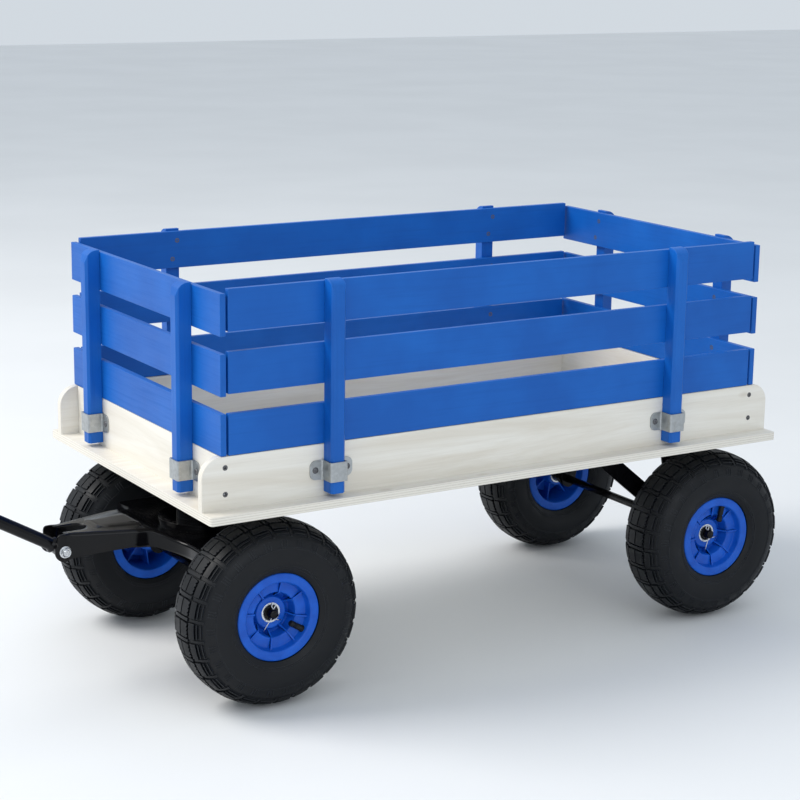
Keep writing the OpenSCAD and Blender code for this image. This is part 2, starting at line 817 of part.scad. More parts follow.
// local +X runs up the handle from the pivot bolt, local Y stays sideways
module on_handle() {
    translate([pivot_x, 0, pivot_z]) rotate([0, -handle_angle, 0]) children();
}

module along_x(r, x0, x1) {
    translate([x0, 0, 0]) rotate([0, 90, 0]) cylinder(r = r, h = x1 - x0);
}

module handle_shaft() {
    eye_r = 11;
    eye_half = nose_half - sheet_t - 0.5;
    end = handle_len - loop_len;
    color("#17181b")
    on_handle() difference() {
        union() {
            rotate([90, 0, 0]) cylinder(r = eye_r, h = 2 * eye_half, center = true);
            along_x(handle_r, 0, end);
        }
        rotate([90, 0, 0]) cylinder(r = pivot_r + fit, h = 100, center = true);
        along_x(handle_r - 1.6, eye_r + 3, end + 1);
        translate([end, 0, 0]) rotate([90, 0, 0]) cylinder(r = loop_r + 0.02, h = 60, center = true);
    }
}

// a steel rod bent into a closed loop with round corners
module handle_loop() {
    c = loop_corner;
    x0 = handle_len - loop_len;
    straight_x = loop_len - 2 * c;
    straight_y = loop_w - 2 * c;
    color("#17181b")
    on_handle() {
        for (x = [x0, handle_len])
            translate([x, 0, 0]) rotate([90, 0, 0]) cylinder(r = loop_r, h = straight_y, center = true);
        for (s = [-1, 1])
            translate([0, s * loop_w / 2, 0]) along_x(loop_r, x0 + c, x0 + c + straight_x);
        for (i = [0:3])
            translate([i == 0 || i == 3 ? handle_len - c : x0 + c, (i < 2 ? 1 : -1) * straight_y / 2, 0])
                rotate([0, 0, i * 90]) rotate_extrude(angle = 90) translate([c, 0]) circle(r = loop_r);
    }
}

// soft sleeve over the loop's cross bar
module handle_grip() {
    half = loop_w / 2 - loop_corner - 1;
    round = 3;
    color("#26282b")
    on_handle() translate([handle_len, 0, 0]) rotate([90, 0, 0])
        difference() {
            union() {
                cylinder(r = grip_r, h = 2 * (half - round), center = true);
                cylinder(r = grip_r - round, h = 2 * half, center = true);
                for (s = [-1, 1]) translate([0, 0, s * (half - round)])
                    rotate_extrude() translate([grip_r - round, 0]) circle(r = round);
            }
            cylinder(r = loop_r + fit, h = 200, center = true);
        }
}

// ---------- what is drawn ----------

deck();
side_board();  // side_board_left
mirror([0, 1, 0]) side_board();  // side_board_right
end_board();  // end_board_front
other_end() end_board();  // end_board_rear
side_pockets();
end_pockets();
pocket_screws();
board_screws();
bracket_bolts();
side_slat(0);  // left_slat_low
side_slat(1);  // left_slat_mid
side_slat(2);  // left_slat_top
side_stakes();  // left_stakes
side_slat_screws();  // left_slat_screws
mirror([0, 1, 0]) side_slat(0);  // right_slat_low
mirror([0, 1, 0]) side_slat(1);  // right_slat_mid
mirror([0, 1, 0]) side_slat(2);  // right_slat_top
mirror([0, 1, 0]) side_stakes();  // right_stakes
mirror([0, 1, 0]) side_slat_screws();  // right_slat_screws
end_slat(0);  // front_slat_low
end_slat(1);  // front_slat_mid
end_slat(2);  // front_slat_top
end_stakes();  // front_stakes
end_slat_screws();  // front_slat_screws
other_end() end_slat(0);  // rear_slat_low
other_end() end_slat(1);  // rear_slat_mid
other_end() end_slat(2);  // rear_slat_top
other_end() end_stakes();  // rear_stakes
other_end() end_slat_screws();  // rear_slat_screws
wheel_at(0, 1, front_left_spin) tyre();  // front_left_tyre
wheel_at(0, 1, front_left_spin) rim();  // front_left_rim
wheel_at(0, 1, front_left_spin) inner_tube();  // front_left_tube
wheel_at(0, 1, front_left_spin) bearings();  // front_left_bearings
wheel_at(0, -1) tyre();  // front_right_tyre
wheel_at(0, -1) rim();  // front_right_rim
wheel_at(0, -1) inner_tube();  // front_right_tube
wheel_at(0, -1) bearings();  // front_right_bearings
wheel_at(rear_x, 1, rear_left_spin) tyre();  // rear_left_tyre
wheel_at(rear_x, 1, rear_left_spin) rim();  // rear_left_rim
wheel_at(rear_x, 1, rear_left_spin) inner_tube();  // rear_left_tube
wheel_at(rear_x, 1, rear_left_spin) bearings();  // rear_left_bearings
wheel_at(rear_x, -1, rear_right_spin) tyre();  // rear_right_tyre
wheel_at(rear_x, -1, rear_right_spin) rim();  // rear_right_rim
wheel_at(rear_x, -1, rear_right_spin) inner_tube();  // rear_right_tube
wheel_at(rear_x, -1, rear_right_spin) bearings();  // rear_right_bearings
front_bolster();
kingpin();
front_axle_bracket();
axle(0);  // front_axle
axle_ends(0, yoke_half_y);  // front_axle_ends
drawbar();
pivot_bolt();
rear_axle_bracket();
rear_braces();
axle(rear_x);  // rear_axle
axle_ends(rear_x, rear_hanger_y + brace_t + 0.2);  // rear_axle_ends
handle_shaft();
handle_loop();
handle_grip();
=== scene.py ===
"""Kids pull wagon: the looks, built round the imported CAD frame. All lengths are in metres."""

import math
import random

import bmesh
import bpy
from mathutils import Matrix, Vector


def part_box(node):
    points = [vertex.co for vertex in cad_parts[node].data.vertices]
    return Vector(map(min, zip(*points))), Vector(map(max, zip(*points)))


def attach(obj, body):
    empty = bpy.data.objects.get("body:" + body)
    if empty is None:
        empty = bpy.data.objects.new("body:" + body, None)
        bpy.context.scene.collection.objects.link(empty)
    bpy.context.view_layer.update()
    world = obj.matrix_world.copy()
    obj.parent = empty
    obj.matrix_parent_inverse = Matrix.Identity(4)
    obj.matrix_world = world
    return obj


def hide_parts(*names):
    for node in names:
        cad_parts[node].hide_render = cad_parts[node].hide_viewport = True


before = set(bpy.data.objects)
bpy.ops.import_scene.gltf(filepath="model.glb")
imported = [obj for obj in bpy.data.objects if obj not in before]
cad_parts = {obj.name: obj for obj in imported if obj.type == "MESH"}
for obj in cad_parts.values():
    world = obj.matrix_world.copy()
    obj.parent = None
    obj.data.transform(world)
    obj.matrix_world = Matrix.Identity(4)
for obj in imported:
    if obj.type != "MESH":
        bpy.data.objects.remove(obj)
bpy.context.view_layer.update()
MM = 0.001

# ---------------------------------------------------------------- camera, light and floor


def make_camera():
    """The viewing angle: high and to the left of the wagon's front."""
    yaw, pitch, roll = math.radians(-121.675), math.radians(-13.183), math.radians(0.774)
    forward = Vector((math.cos(pitch) * math.cos(yaw), math.cos(pitch) * math.sin(yaw), math.sin(pitch)))
    level = Vector((math.sin(yaw), -math.cos(yaw), 0))
    up = level.cross(forward)
    right = level * math.cos(roll) + up * math.sin(roll)
    up = right.cross(forward)
    camera = bpy.data.objects.new("camera", bpy.data.cameras.new("camera"))
    camera.data.lens = 91.5
    camera.data.clip_end = 60
    camera.matrix_world = Matrix.Translation((1.2308, 2.5387, 1.0429)) @ Matrix((
        (right.x, up.x, -forward.x, 0), (right.y, up.y, -forward.y, 0),
        (right.z, up.z, -forward.z, 0), (0, 0, 0, 1)))
    bpy.context.scene.collection.objects.link(camera)
    bpy.context.scene.camera = camera


def area_light(name, place, aim, size, power, colour):
    light = bpy.data.lights.new(name, "AREA")
    light.shape = "SQUARE"
    light.size = size
    light.energy = power
    light.color = colour
    lamp = bpy.data.objects.new(name, light)
    lamp.location = place
    lamp.rotation_euler = (Vector(aim) - Vector(place)).to_track_quat("-Z", "Y").to_euler()
    bpy.context.scene.collection.objects.link(lamp)


def make_light():
    world = bpy.data.worlds.new("studio")
    world.use_nodes = True
    world.node_tree.nodes["Background"].inputs["Color"].default_value = (0.86, 0.93, 1.0, 1)
    world.node_tree.nodes["Background"].inputs["Strength"].default_value = 0.75
    bpy.context.scene.world = world
    middle = (-0.35, 0, 0.3)
    area_light("key", (2.6, -1.6, 3.6), middle, 2.4, 165, (1.0, 0.97, 0.93))
    area_light("fill", (0.6, 3.8, 2.2), middle, 3.0, 32, (0.92, 0.96, 1.0))
    bpy.context.scene.view_settings.view_transform = "Standard"
    bpy.context.scene.view_settings.look = "None"


# ---------------------------------------------------------------- materials


class Shader:
    """A small helper that builds one procedural material."""

    def __init__(self, name, colour, roughness, metallic=0.0, **sockets):
        self.material = bpy.data.materials.new(name)
        self.material.use_nodes = True
        self.tree = self.material.node_tree
        self.out = self.tree.nodes["Principled BSDF"]
        self.out.inputs["Base Color"].default_value = (*colour, 1)
        self.out.inputs["Roughness"].default_value = roughness
        self.out.inputs["Metallic"].default_value = metallic
        for socket, value in sockets.items():
            self.out.inputs[socket.replace("_", " ")].default_value = value
        self.place = self.node("ShaderNodeTexCoord").outputs["Object"]

    def node(self, kind, **values):
        made = self.tree.nodes.new(kind)
        for key, value in values.items():
            if hasattr(made, key):
                setattr(made, key, value)
            else:
                made.inputs[key.replace("_", " ")].default_value = value
        return made

    def link(self, source, socket):
        self.tree.links.new(source, socket)

    def stretched(self, scale, turn=(0, 0, 0)):
        mapping = self.node("ShaderNodeMapping", Scale=scale, Rotation=turn)
        self.link(self.place, mapping.inputs["Vector"])
        return mapping.outputs["Vector"]

    def noise(self, scale, detail=3.0, rough=0.55, where=None, distortion=0.0):
        made = self.node("ShaderNodeTexNoise", Scale=scale, Detail=detail, Roughness=rough,
                         Distortion=distortion)
        self.link(where or self.place, made.inputs["Vector"])
        return made.outputs["Fac"]

    def cells(self, scale, where=None):
        made = self.node("ShaderNodeTexVoronoi", Scale=scale, feature="F1")
        self.link(where or self.place, made.inputs["Vector"])
        return made

    def ramp(self, value, low, high, a=0.0, b=1.0):
        """value from low..high becomes a..b, held at both ends"""
        made = self.node("ShaderNodeMapRange", From_Min=low, From_Max=high, To_Min=a, To_Max=b)
        self.link(value, made.inputs["Value"])
        return made.outputs["Result"]

    def math(self, operation, a, b=0.0):
        made = self.node("ShaderNodeMath", operation=operation)
        for socket, value in zip(made.inputs, (a, b)):
            if isinstance(value, (int, float)):
                socket.default_value = value
            else:
                self.link(value, socket)
        return made.outputs[0]

    def mix(self, amount, a, b):
        """a and b are colours or sockets"""
        made = self.node("ShaderNodeMix", data_type="RGBA")
        for socket, value in ((made.inputs[0], amount), (made.inputs[6], a), (made.inputs[7], b)):
            if isinstance(value, (int, float)):
                socket.default_value = value
            elif isinstance(value, tuple):
                socket.default_value = (*value, 1)
            else:
                self.link(value, socket)
        return made.outputs[2]

    def colour(self, source):
        self.link(source, self.out.inputs["Base Color"])

    def roughness(self, source):
        self.link(source, self.out.inputs["Roughness"])

    def bump(self, height, distance, strength=1.0):
        made = self.node("ShaderNodeBump", Distance=distance, Strength=strength)
        self.link(height, made.inputs["Height"])
        if self.out.inputs["Normal"].is_linked:
            self.link(self.out.inputs["Normal"].links[0].from_socket, made.inputs["Normal"])
        self.link(made.outputs["Normal"], self.out.inputs["Normal"])

    def edges(self, radius, low=0.02, high=0.25):
        """1 on the edges of a piece, 0 on its flat faces"""
        soft = self.node("ShaderNodeBevel", samples=4, Radius=radius)
        flat = self.node("ShaderNodeNewGeometry").outputs["Normal"]
        dot = self.node("ShaderNodeVectorMath", operation="DOT_PRODUCT")
        self.link(soft.outputs["Normal"], dot.inputs[0])
        self.link(flat, dot.inputs[1])
        return self.ramp(self.math("SUBTRACT", 1.0, dot.outputs["Value"]), low, high)

    def split(self):
        axes = self.node("ShaderNodeSeparateXYZ")
        self.link(self.place, axes.inputs[0])
        return axes.outputs

    def facing(self, axis):
        """how far the surface faces along one of the piece's own axes, 0 to 1"""
        axes = self.node("ShaderNodeSeparateXYZ")
        self.link(self.node("ShaderNodeTexCoord").outputs["Normal"], axes.inputs[0])
        return self.math("ABSOLUTE", axes.outputs[axis])


def along(axis, length_scale, cross_scale):
    """texture scale for grain that runs along X, Y or Z"""
    return tuple(length_scale if i == axis else cross_scale for i in range(3))


def painted_wood(name, axis):
    """satin blue paint over planed softwood, worn a little on the edges, where a painted highlight also
    lightens the blue
    """
    s = Shader(name, (0.003, 0.110, 0.47), 0.45, Specular_IOR_Level=0.3)
    broad = s.noise(9, 3)
    grain = s.noise(1, 6, 0.7, s.stretched(along(axis, 7, 230)), 0.6)
    pores = s.noise(1, 3, 0.6, s.stretched(along(axis, 45, 1500)))
    body = s.mix(s.ramp(broad, 0.35, 0.68), (0.002, 0.098, 0.43), (0.004, 0.125, 0.51))
    body = s.mix(s.ramp(grain, 0.50, 0.72, 0, 0.30), body, (0.001, 0.072, 0.34))
    edge = s.edges(1.1 * MM)
    # lighter blue along the edges: partly painted highlight where rounded edges catch the light, partly
    # thinner paint
    body = s.mix(s.math("MULTIPLY", edge, 0.7), body, (0.05, 0.31, 0.80))
    nick = s.ramp(s.noise(150, 4, 0.7), 0.70, 0.74)
    nick = s.math("MULTIPLY", nick, s.ramp(s.noise(11, 2), 0.50, 0.62))
    body = s.mix(s.math("MULTIPLY", nick, edge), body, (0.30, 0.36, 0.46))
    s.colour(body)
    s.roughness(s.ramp(grain, 0.3, 0.75, 0.36, 0.52))
    s.bump(grain, 0.25 * MM, 0.55)
    s.bump(pores, 0.06 * MM, 0.6)
    return s.material


def plywood(name, grain_axis, thin_axis):
    """lacquered birch plywood: pale veneer faces and layered edges"""
    s = Shader(name, (0.70, 0.62, 0.48), 0.45, Coat_Weight=0.1, Coat_Roughness=0.35)
    wavy = s.noise(1, 5, 0.6, s.stretched(along(grain_axis, 2.2, 26)), 1.2)
    fine = s.noise(1, 5, 0.7, s.stretched(along(grain_axis, 12, 420)))
    blotch = s.noise(4.5, 3, 0.5)
    face = s.mix(s.ramp(wavy, 0.36, 0.66), (0.83, 0.80, 0.73), (0.72, 0.67, 0.58))
    face = s.mix(s.ramp(fine, 0.50, 0.75, 0, 0.28), face, (0.60, 0.55, 0.47))
    face = s.mix(s.ramp(blotch, 0.58, 0.75, 0, 0.30), face, (0.72, 0.69, 0.63))
    knots = s.cells(5.5, s.stretched(along(grain_axis, 0.8, 1.7))).outputs["Distance"]
    face = s.mix(s.ramp(knots, 0.03, 0.065, 0.40, 0), face, (0.52, 0.44, 0.34))
    thin = s.split()[thin_axis]
    layer = s.math("FRACT", s.math("MULTIPLY", thin, 1 / (3.4 * MM)))
    ply = s.mix(s.ramp(layer, 0.46, 0.54), (0.82, 0.79, 0.71), (0.74, 0.70, 0.62))
    glue = s.math("LESS_THAN", s.math("ABSOLUTE", s.math("SUBTRACT", layer, 0.5)), 0.07)
    ply = s.mix(s.math("MULTIPLY", glue, 0.5), ply, (0.28, 0.23, 0.18))
    ply = s.mix(s.ramp(s.noise(210, 3), 0.4, 0.7, 0, 0.4), ply, (0.80, 0.75, 0.66))
    flat = s.ramp(s.facing(thin_axis), 0.55, 0.75)
    s.colour(s.mix(flat, ply, face))
    s.roughness(s.ramp(blotch, 0.3, 0.7, 0.38, 0.55))
    s.bump(fine, 0.10 * MM, 0.5)
    return s.material


def black_steel():
    s = Shader("black_powder_coat", (0.005, 0.005, 0.006), 0.14, Specular_IOR_Level=0.22)
    dust = s.ramp(s.noise(16, 5, 0.65), 0.50, 0.78)
    s.colour(s.mix(s.math("MULTIPLY", dust, 0.04), (0.003, 0.003, 0.004), (0.14, 0.12, 0.10)))
    edge = s.edges(0.9 * MM, 0.05, 0.4)
    s.roughness(s.math("ADD", s.ramp(dust, 0, 1, 0.12, 0.26), s.math("MULTIPLY", edge, 0.05)))
    s.bump(s.noise(520, 2), 0.05 * MM, 0.5)
    return s.material


def zinc(name, colour, roughness, spangle):
    s = Shader(name, colour, roughness, 1.0)
    flakes = s.cells(spangle).outputs["Color"]
    tone = s.node("ShaderNodeSeparateColor")
    s.link(flakes, tone.inputs[0])
    dark = tuple(0.72 * c for c in colour)
    tint = s.mix(s.ramp(tone.outputs[0], 0, 1, 0, 0.45), colour, dark)
    stain = s.ramp(s.noise(70, 4, 0.6), 0.55, 0.75)
    s.colour(s.mix(s.math("MULTIPLY", stain, 0.45), tint, (0.24, 0.23, 0.21)))
    s.roughness(s.ramp(s.noise(160, 3), 0.3, 0.75, roughness - 0.07, roughness + 0.16))
    s.bump(s.noise(900, 2), 0.03 * MM, 0.5)
    return s.material


def tyre_rubber():
    s = Shader("tyre_rubber", (0.004, 0.005, 0.007), 0.55, Specular_IOR_Level=0.28)
    dust = s.ramp(s.noise(24, 5, 0.65), 0.46, 0.74)
    edge = s.edges(1.0 * MM, 0.04, 0.35)
    body = s.mix(s.math("MULTIPLY", dust, 0.30), (0.003, 0.004, 0.006), (0.014, 0.015, 0.017))
    # painted highlight: the tread's edges are made lighter and bluer
    s.colour(s.mix(s.math("MULTIPLY", edge, 0.7), body, (0.070, 0.078, 0.092)))
    s.roughness(s.ramp(dust, 0, 1, 0.46, 0.74))
    s.bump(s.noise(1400, 3, 0.7), 0.08 * MM, 0.5)
    return s.material


def rim_plastic():
    s = Shader("rim_plastic", (0.008, 0.100, 0.55), 0.36, Specular_IOR_Level=0.3)
    mottle = s.noise(38, 4, 0.6)
    body = s.mix(s.ramp(mottle, 0.35, 0.7), (0.003, 0.078, 0.47), (0.008, 0.118, 0.62))
    dust = s.ramp(s.noise(60, 5, 0.7), 0.60, 0.80)
    s.colour(s.mix(s.math("MULTIPLY", dust, 0.14), body, (0.30, 0.32, 0.36)))
    s.roughness(s.ramp(mottle, 0.3, 0.7, 0.28, 0.44))
    s.bump(s.noise(700, 2), 0.05 * MM, 0.4)
    return s.material


def soft_black(name, roughness, grain):
    s = Shader(name, (0.018, 0.018, 0.020), roughness, Sheen_Weight=0.15)
    tone = s.noise(45, 4, 0.6)
    s.colour(s.mix(s.ramp(tone, 0.4, 0.7), (0.014, 0.014, 0.016), (0.034, 0.034, 0.036)))
    s.roughness(s.ramp(tone, 0.3, 0.7, roughness - 0.08, roughness + 0.12))
    s.bump(s.noise(grain, 3, 0.7), 0.15 * MM, 0.6)
    return s.material


PAINT = [painted_wood(f"blue_paint_{'xyz'[i]}", i) for i in range(3)]
PLY_DECK = plywood("birch_ply_deck", 0, 2)
PLY_SIDE = plywood("birch_ply_side", 0, 1)
PLY_END = plywood("birch_ply_end", 1, 0)
STEEL = black_steel()
STRAP_ZINC = zinc("strap_zinc", (0.46, 0.48, 0.49), 0.40, 260)
BRIGHT_ZINC = zinc("bright_zinc", (0.74, 0.76, 0.78), 0.24, 700)
DULL_ZINC = zinc("dull_zinc", (0.17, 0.17, 0.18), 0.48, 700)
RUBBER = tyre_rubber()
PLASTIC = rim_plastic()
SEAL = soft_black("black_rubber", 0.5, 900)
GRIP = soft_black("grip_foam", 0.78, 1500)

# ---------------------------------------------------------------- mesh tools


def piece(name, verts, faces, body, slot, material, replaces=(), smooth=True, place=None):
    """Makes one visible piece, gives it its material and lets it ride on a CAD body."""
    mesh = bpy.data.meshes.new(name)
    mesh.from_pydata([tuple(v) for v in verts], [], faces)
    mesh.validate()
    if place is not None:
        mesh.transform(place)
    made = bpy.data.objects.new(name, mesh)
    bpy.context.scene.collection.objects.link(made)
    tidy = bmesh.new()
    tidy.from_mesh(mesh)
    bmesh.ops.remove_doubles(tidy, verts=tidy.verts, dist=1e-6)
    bmesh.ops.recalc_face_normals(tidy, faces=tidy.faces)
    tidy.to_mesh(mesh)
    tidy.free()
    if smooth:
        mesh.shade_smooth()
    for m in material if isinstance(material, list) else [material]:
        mesh.materials.append(m)
    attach(made, body)
    if replaces:
        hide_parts(*([replaces] if isinstance(replaces, str) else replaces))
    return made


def bevel(obj, width, segments=2, angle=35):
    """rounds a piece's edges"""
    m = obj.modifiers.new("bevel", "BEVEL")
    m.width = width
    m.segments = segments
    m.limit_method = "ANGLE"
    m.angle_limit = math.radians(angle)
    m.harden_normals = True
    return obj


def lathe(profile, steps, closed=True):
    """turns a profile of (radius, y) points round the Y axis"""
    verts, faces = [], []
    n = len(profile)
    for i in range(steps):
        a = 2 * math.pi * i / steps
        verts += [(r * math.cos(a), y, r * math.sin(a)) for r, y in profile]
    for i in range(steps):
        j = (i + 1) % steps
        for k in range(n if closed else n - 1):
            m = (k + 1) % n
            faces.append((i * n + k, i * n + m, j * n + m, j * n + k))
    return verts, faces


def joined(*parts):
    """several (verts, faces) as one"""
    verts, faces = [], []
    for v, f in parts:
        base = len(verts)
        verts += [tuple(p) for p in v]
        faces += [tuple(i + base for i in face) for face in f]
    return verts, faces


def moved(part, matrix):
    verts, faces = part
    return [matrix @ Vector(v) for v in verts], faces


def prism(outline, axis, low, high):
    """an outline in the plane across an axis, made solid between low and high; the outline's
    two coordinates are the other two axes in order"""
    def at(p, h):
        q = list(p)
        q.insert(axis, h)
        return tuple(q)
    n = len(outline)
    verts = [at(p, low) for p in outline] + [at(p, high) for p in outline]
    faces = [tuple(range(n)), tuple(range(2 * n - 1, n - 1, -1))]
    faces += [(i, (i + 1) % n, (i + 1) % n + n, i + n) for i in range(n)]
    return verts, faces


def arc(cx, cy, r, a0, a1, steps):
    """points on a circle from angle a0 to a1, in degrees"""
    return [(cx + r * math.cos(math.radians(a0 + (a1 - a0) * i / steps)),
             cy + r * math.sin(math.radians(a0 + (a1 - a0) * i / steps))) for i in range(steps + 1)]


def tube(path, r, sides=16, closed=False):
    """a round bar along a path of points"""
    path = [Vector(p) for p in path]
    n = len(path)
    verts, faces = [], []
    previous = None
    for i, p in enumerate(path):
        if closed:
            t = path[(i + 1) % n] - path[i - 1]
        else:
            t = path[min(i + 1, n - 1)] - path[max(i - 1, 0)]
        t.normalize()
        if previous is None:
            previous = t.orthogonal().normalized()
        side = (previous - t * previous.dot(t)).normalized()
        previous = side
        across = t.cross(side)
        for k in range(sides):
            a = 2 * math.pi * k / sides
            verts.append(p + (side * math.cos(a) + across * math.sin(a)) * r)
    for i in range(n if closed else n - 1):
        for k in range(sides):
            j, m = (i + 1) % n, (k + 1) % sides
            faces.append((i * sides + k, i * sides + m, j * sides + m, j * sides + k))
    if not closed:
        faces.append(tuple(range(sides))[::-1])
        faces.append(tuple(range((n - 1) * sides, n * sides)))
    return verts, faces


# ---------------------------------------------------------------- wood


def rounded_board(name, node, outline, axis, body, slot, material, edge=0.8 * MM):
    low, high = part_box(node)
    made = piece(name, *prism(outline, axis, low[axis], high[axis]), body, slot, material, node, False)
    return bevel(made, edge)


def rectangle(low, high):
    return [low, (high[0], low[1]), high, (low[0], high[1])]


def make_deck():
    low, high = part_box("deck")
    r = 5 * MM
    outline = []
    for cx, cy, a in ((high.x - r, high.y - r, 0), (low.x + r, high.y - r, 90),
                      (low.x + r, low.y + r, 180), (high.x - r, low.y + r, 270)):
        outline += arc(cx, cy, r, a, a + 90, 5)
    rounded_board("deck_panel", "deck", outline, 2, "wagon_bed", "birch_ply", PLY_DECK, 0.7 * MM)


def make_boards():
    r = 28 * MM
    for side in ("left", "right"):
        node = f"side_board_{side}"
        low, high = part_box(node)
        outline = [(low.x, low.z), (high.x, low.z)]
        outline += arc(high.x - r, high.z - r, r, 0, 90, 14)
        outline += arc(low.x + r, high.z - r, r, 90, 180, 14)
        rounded_board(node + "_panel", node, outline, 1, "wagon_bed", "birch_ply", PLY_SIDE, 1.0 * MM)
    for end in ("front", "rear"):
        node = f"end_board_{end}"
        low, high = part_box(node)
        outline = rectangle((low.y, low.z), (high.y, high.z))
        rounded_board(node + "_panel", node, outline, 0, "wagon_bed", "birch_ply", PLY_END, 0.8 * MM)


def make_slats():
    for panel in ("left", "right", "front", "rear"):
        run = 0 if panel in ("left", "right") else 1
        for level in ("low", "mid", "top"):
            node = f"{panel}_slat_{level}"
            low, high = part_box(node)
            outline = rectangle((low[run], low.z), (high[run], high.z))
            rounded_board(node + "_board", node, outline, 1 - run, f"{panel}_panel",
                          "blue_painted_wood", PAINT[run], 0.9 * MM)


def stake(height):
    """a square stake as slices across its depth: the outer edges are chamfered, and the top
    falls away on a quarter circle towards the outside; local +Y is outwards"""
    w, chamfer, crown = 22 * MM, 3.5 * MM, 17.6 * MM
    flat = w - crown
    round_cuts = [flat + crown * math.sin(math.radians(a)) for a in range(0, 60, 6)]
    cuts = [0] + [c for c in round_cuts if c < w - chamfer] + [w - chamfer, w]
    verts, faces = [], []
    for y in cuts:
        half = w / 2 - max(0.0, y - (w - chamfer))
        over = max(0.0, y - flat)
        top = height - crown + math.sqrt(max(crown ** 2 - over ** 2, 0))
        verts += [(-half, y, 0), (half, y, 0), (half, y, top), (-half, y, top)]
    n = len(cuts)
    for i in range(n - 1):
        for k in range(4):
            m = (k + 1) % 4
            faces.append((4 * i + k, 4 * i + m, 4 * i + 4 + m, 4 * i + 4 + k))
    faces += [(0, 1, 2, 3), (4 * n - 1, 4 * n - 2, 4 * n - 3, 4 * n - 4)]
    return verts, faces


PANELS = {"left": 0, "right": 180, "front": -90, "rear": 90}


def outward(panel, run_place, face, z):
    """local frame on a panel: +X along it, +Y outwards, origin on its outer face"""
    if panel in ("left", "right"):
        spot = (run_place, face, z)
    else:
        spot = (face, run_place, z)
    return Matrix.Translation(spot) @ Matrix.Rotation(math.radians(PANELS[panel]), 4, "Z")


def stake_spots(panel):
    """where a panel's two stakes stand along it, and the place of their inner faces"""
    low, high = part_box(f"{panel}_stakes")
    run = 0 if panel in ("left", "right") else 1
    half = 11 * MM
    face = low[1 - run] if panel in ("left", "front") else high[1 - run]
    return (low[run] + half, high[run] - half), face, low.z, high.z


def make_stakes():
    for panel in PANELS:
        places, face, low, high = stake_spots(panel)
        parts = [moved(stake(high - low), outward(panel, p, face, low)) for p in places]
        made = piece(f"{panel}_stake_posts", *joined(*parts), f"{panel}_panel", "blue_painted_wood",
                     PAINT[2], f"{panel}_stakes", False)
        bevel(made, 0.8 * MM, 2, 30)


# ---------------------------------------------------------------- straps and screws


def strap():
    """a strap bent round a stake, ears flat on the board; +Y outwards, z from 0 to its height"""
    height, thick, ear, out, inner = 27 * MM, 2 * MM, 32.5 * MM, 24.4 * MM, 11.3 * MM
    outer = inner + thick
    r = 2.6 * MM
    half = [(ear, thick), (outer + r, thick)]
    half += [(x, y) for x, y in arc(outer + r, thick + r, r, 270, 180, 5)][1:]
    half += arc(outer - r, out - r, r, 0, 90, 5)
    line = half + [(-x, y) for x, y in reversed(half)]
    ears = [ear - 9 * MM * (1 - math.cos(math.radians(a))) for a in range(10, 90, 10)]
    near, far = [(x, thick) for x in ears], [(-x, thick) for x in reversed(ears)]
    line = [line[0]] + near + line[1:-1] + far + [line[-1]]
    rows = 8
    verts, faces = [], []
    for i, (x, y) in enumerate(line):
        past = max(0.0, abs(x) - (ear - 9 * MM)) if y <= thick + 1e-9 else 0.0
        trim = 9 * MM - math.sqrt(max((9 * MM) ** 2 - past ** 2, 0))
        for k in range(rows + 1):
            verts.append((x, y, trim + (height - 2 * trim) * k / rows))
    for i in range(len(line) - 1):
        for k in range(rows):
            a = i * (rows + 1) + k
            faces.append((a, a + 1, a + rows + 2, a + rows + 1))
    return verts, faces


def cross_recess_head(r, crown, recess):
    """a screw head's face with a cross recess, centred on the Y axis and facing +Y"""
    rings, sides = 9, 40
    verts, faces = [(0, crown - recess, 0)], []
    for i in range(1, rings + 1):
        q = r * i / rings
        for k in range(sides):
            a = 2 * math.pi * k / sides
            x, z = q * math.cos(a), q * math.sin(a)
            y = crown * (1 - (q / r) ** 2) ** 0.5 if q < r else 0.0
            if min(abs(x), abs(z)) < 0.13 * r and max(abs(x), abs(z)) < 0.56 * r:
                y = crown - recess
            verts.append((x, y, z))
    for k in range(sides):
        faces.append((0, 1 + (k + 1) % sides, 1 + k))
    for i in range(rings - 1):
        for k in range(sides):
            a, b = 1 + i * sides + k, 1 + i * sides + (k + 1) % sides
            faces.append((a, b, b + sides, a + sides))
    rim = [1 + (rings - 1) * sides + k for k in range(sides)]
    base = len(verts)
    verts += [(verts[i][0], -0.9 * MM, verts[i][2]) for i in rim]
    for k in range(sides):
        faces.append((rim[k], rim[(k + 1) % sides], base + (k + 1) % sides, base + k))
    faces.append(tuple(base + k for k in range(sides)))
    return verts, faces


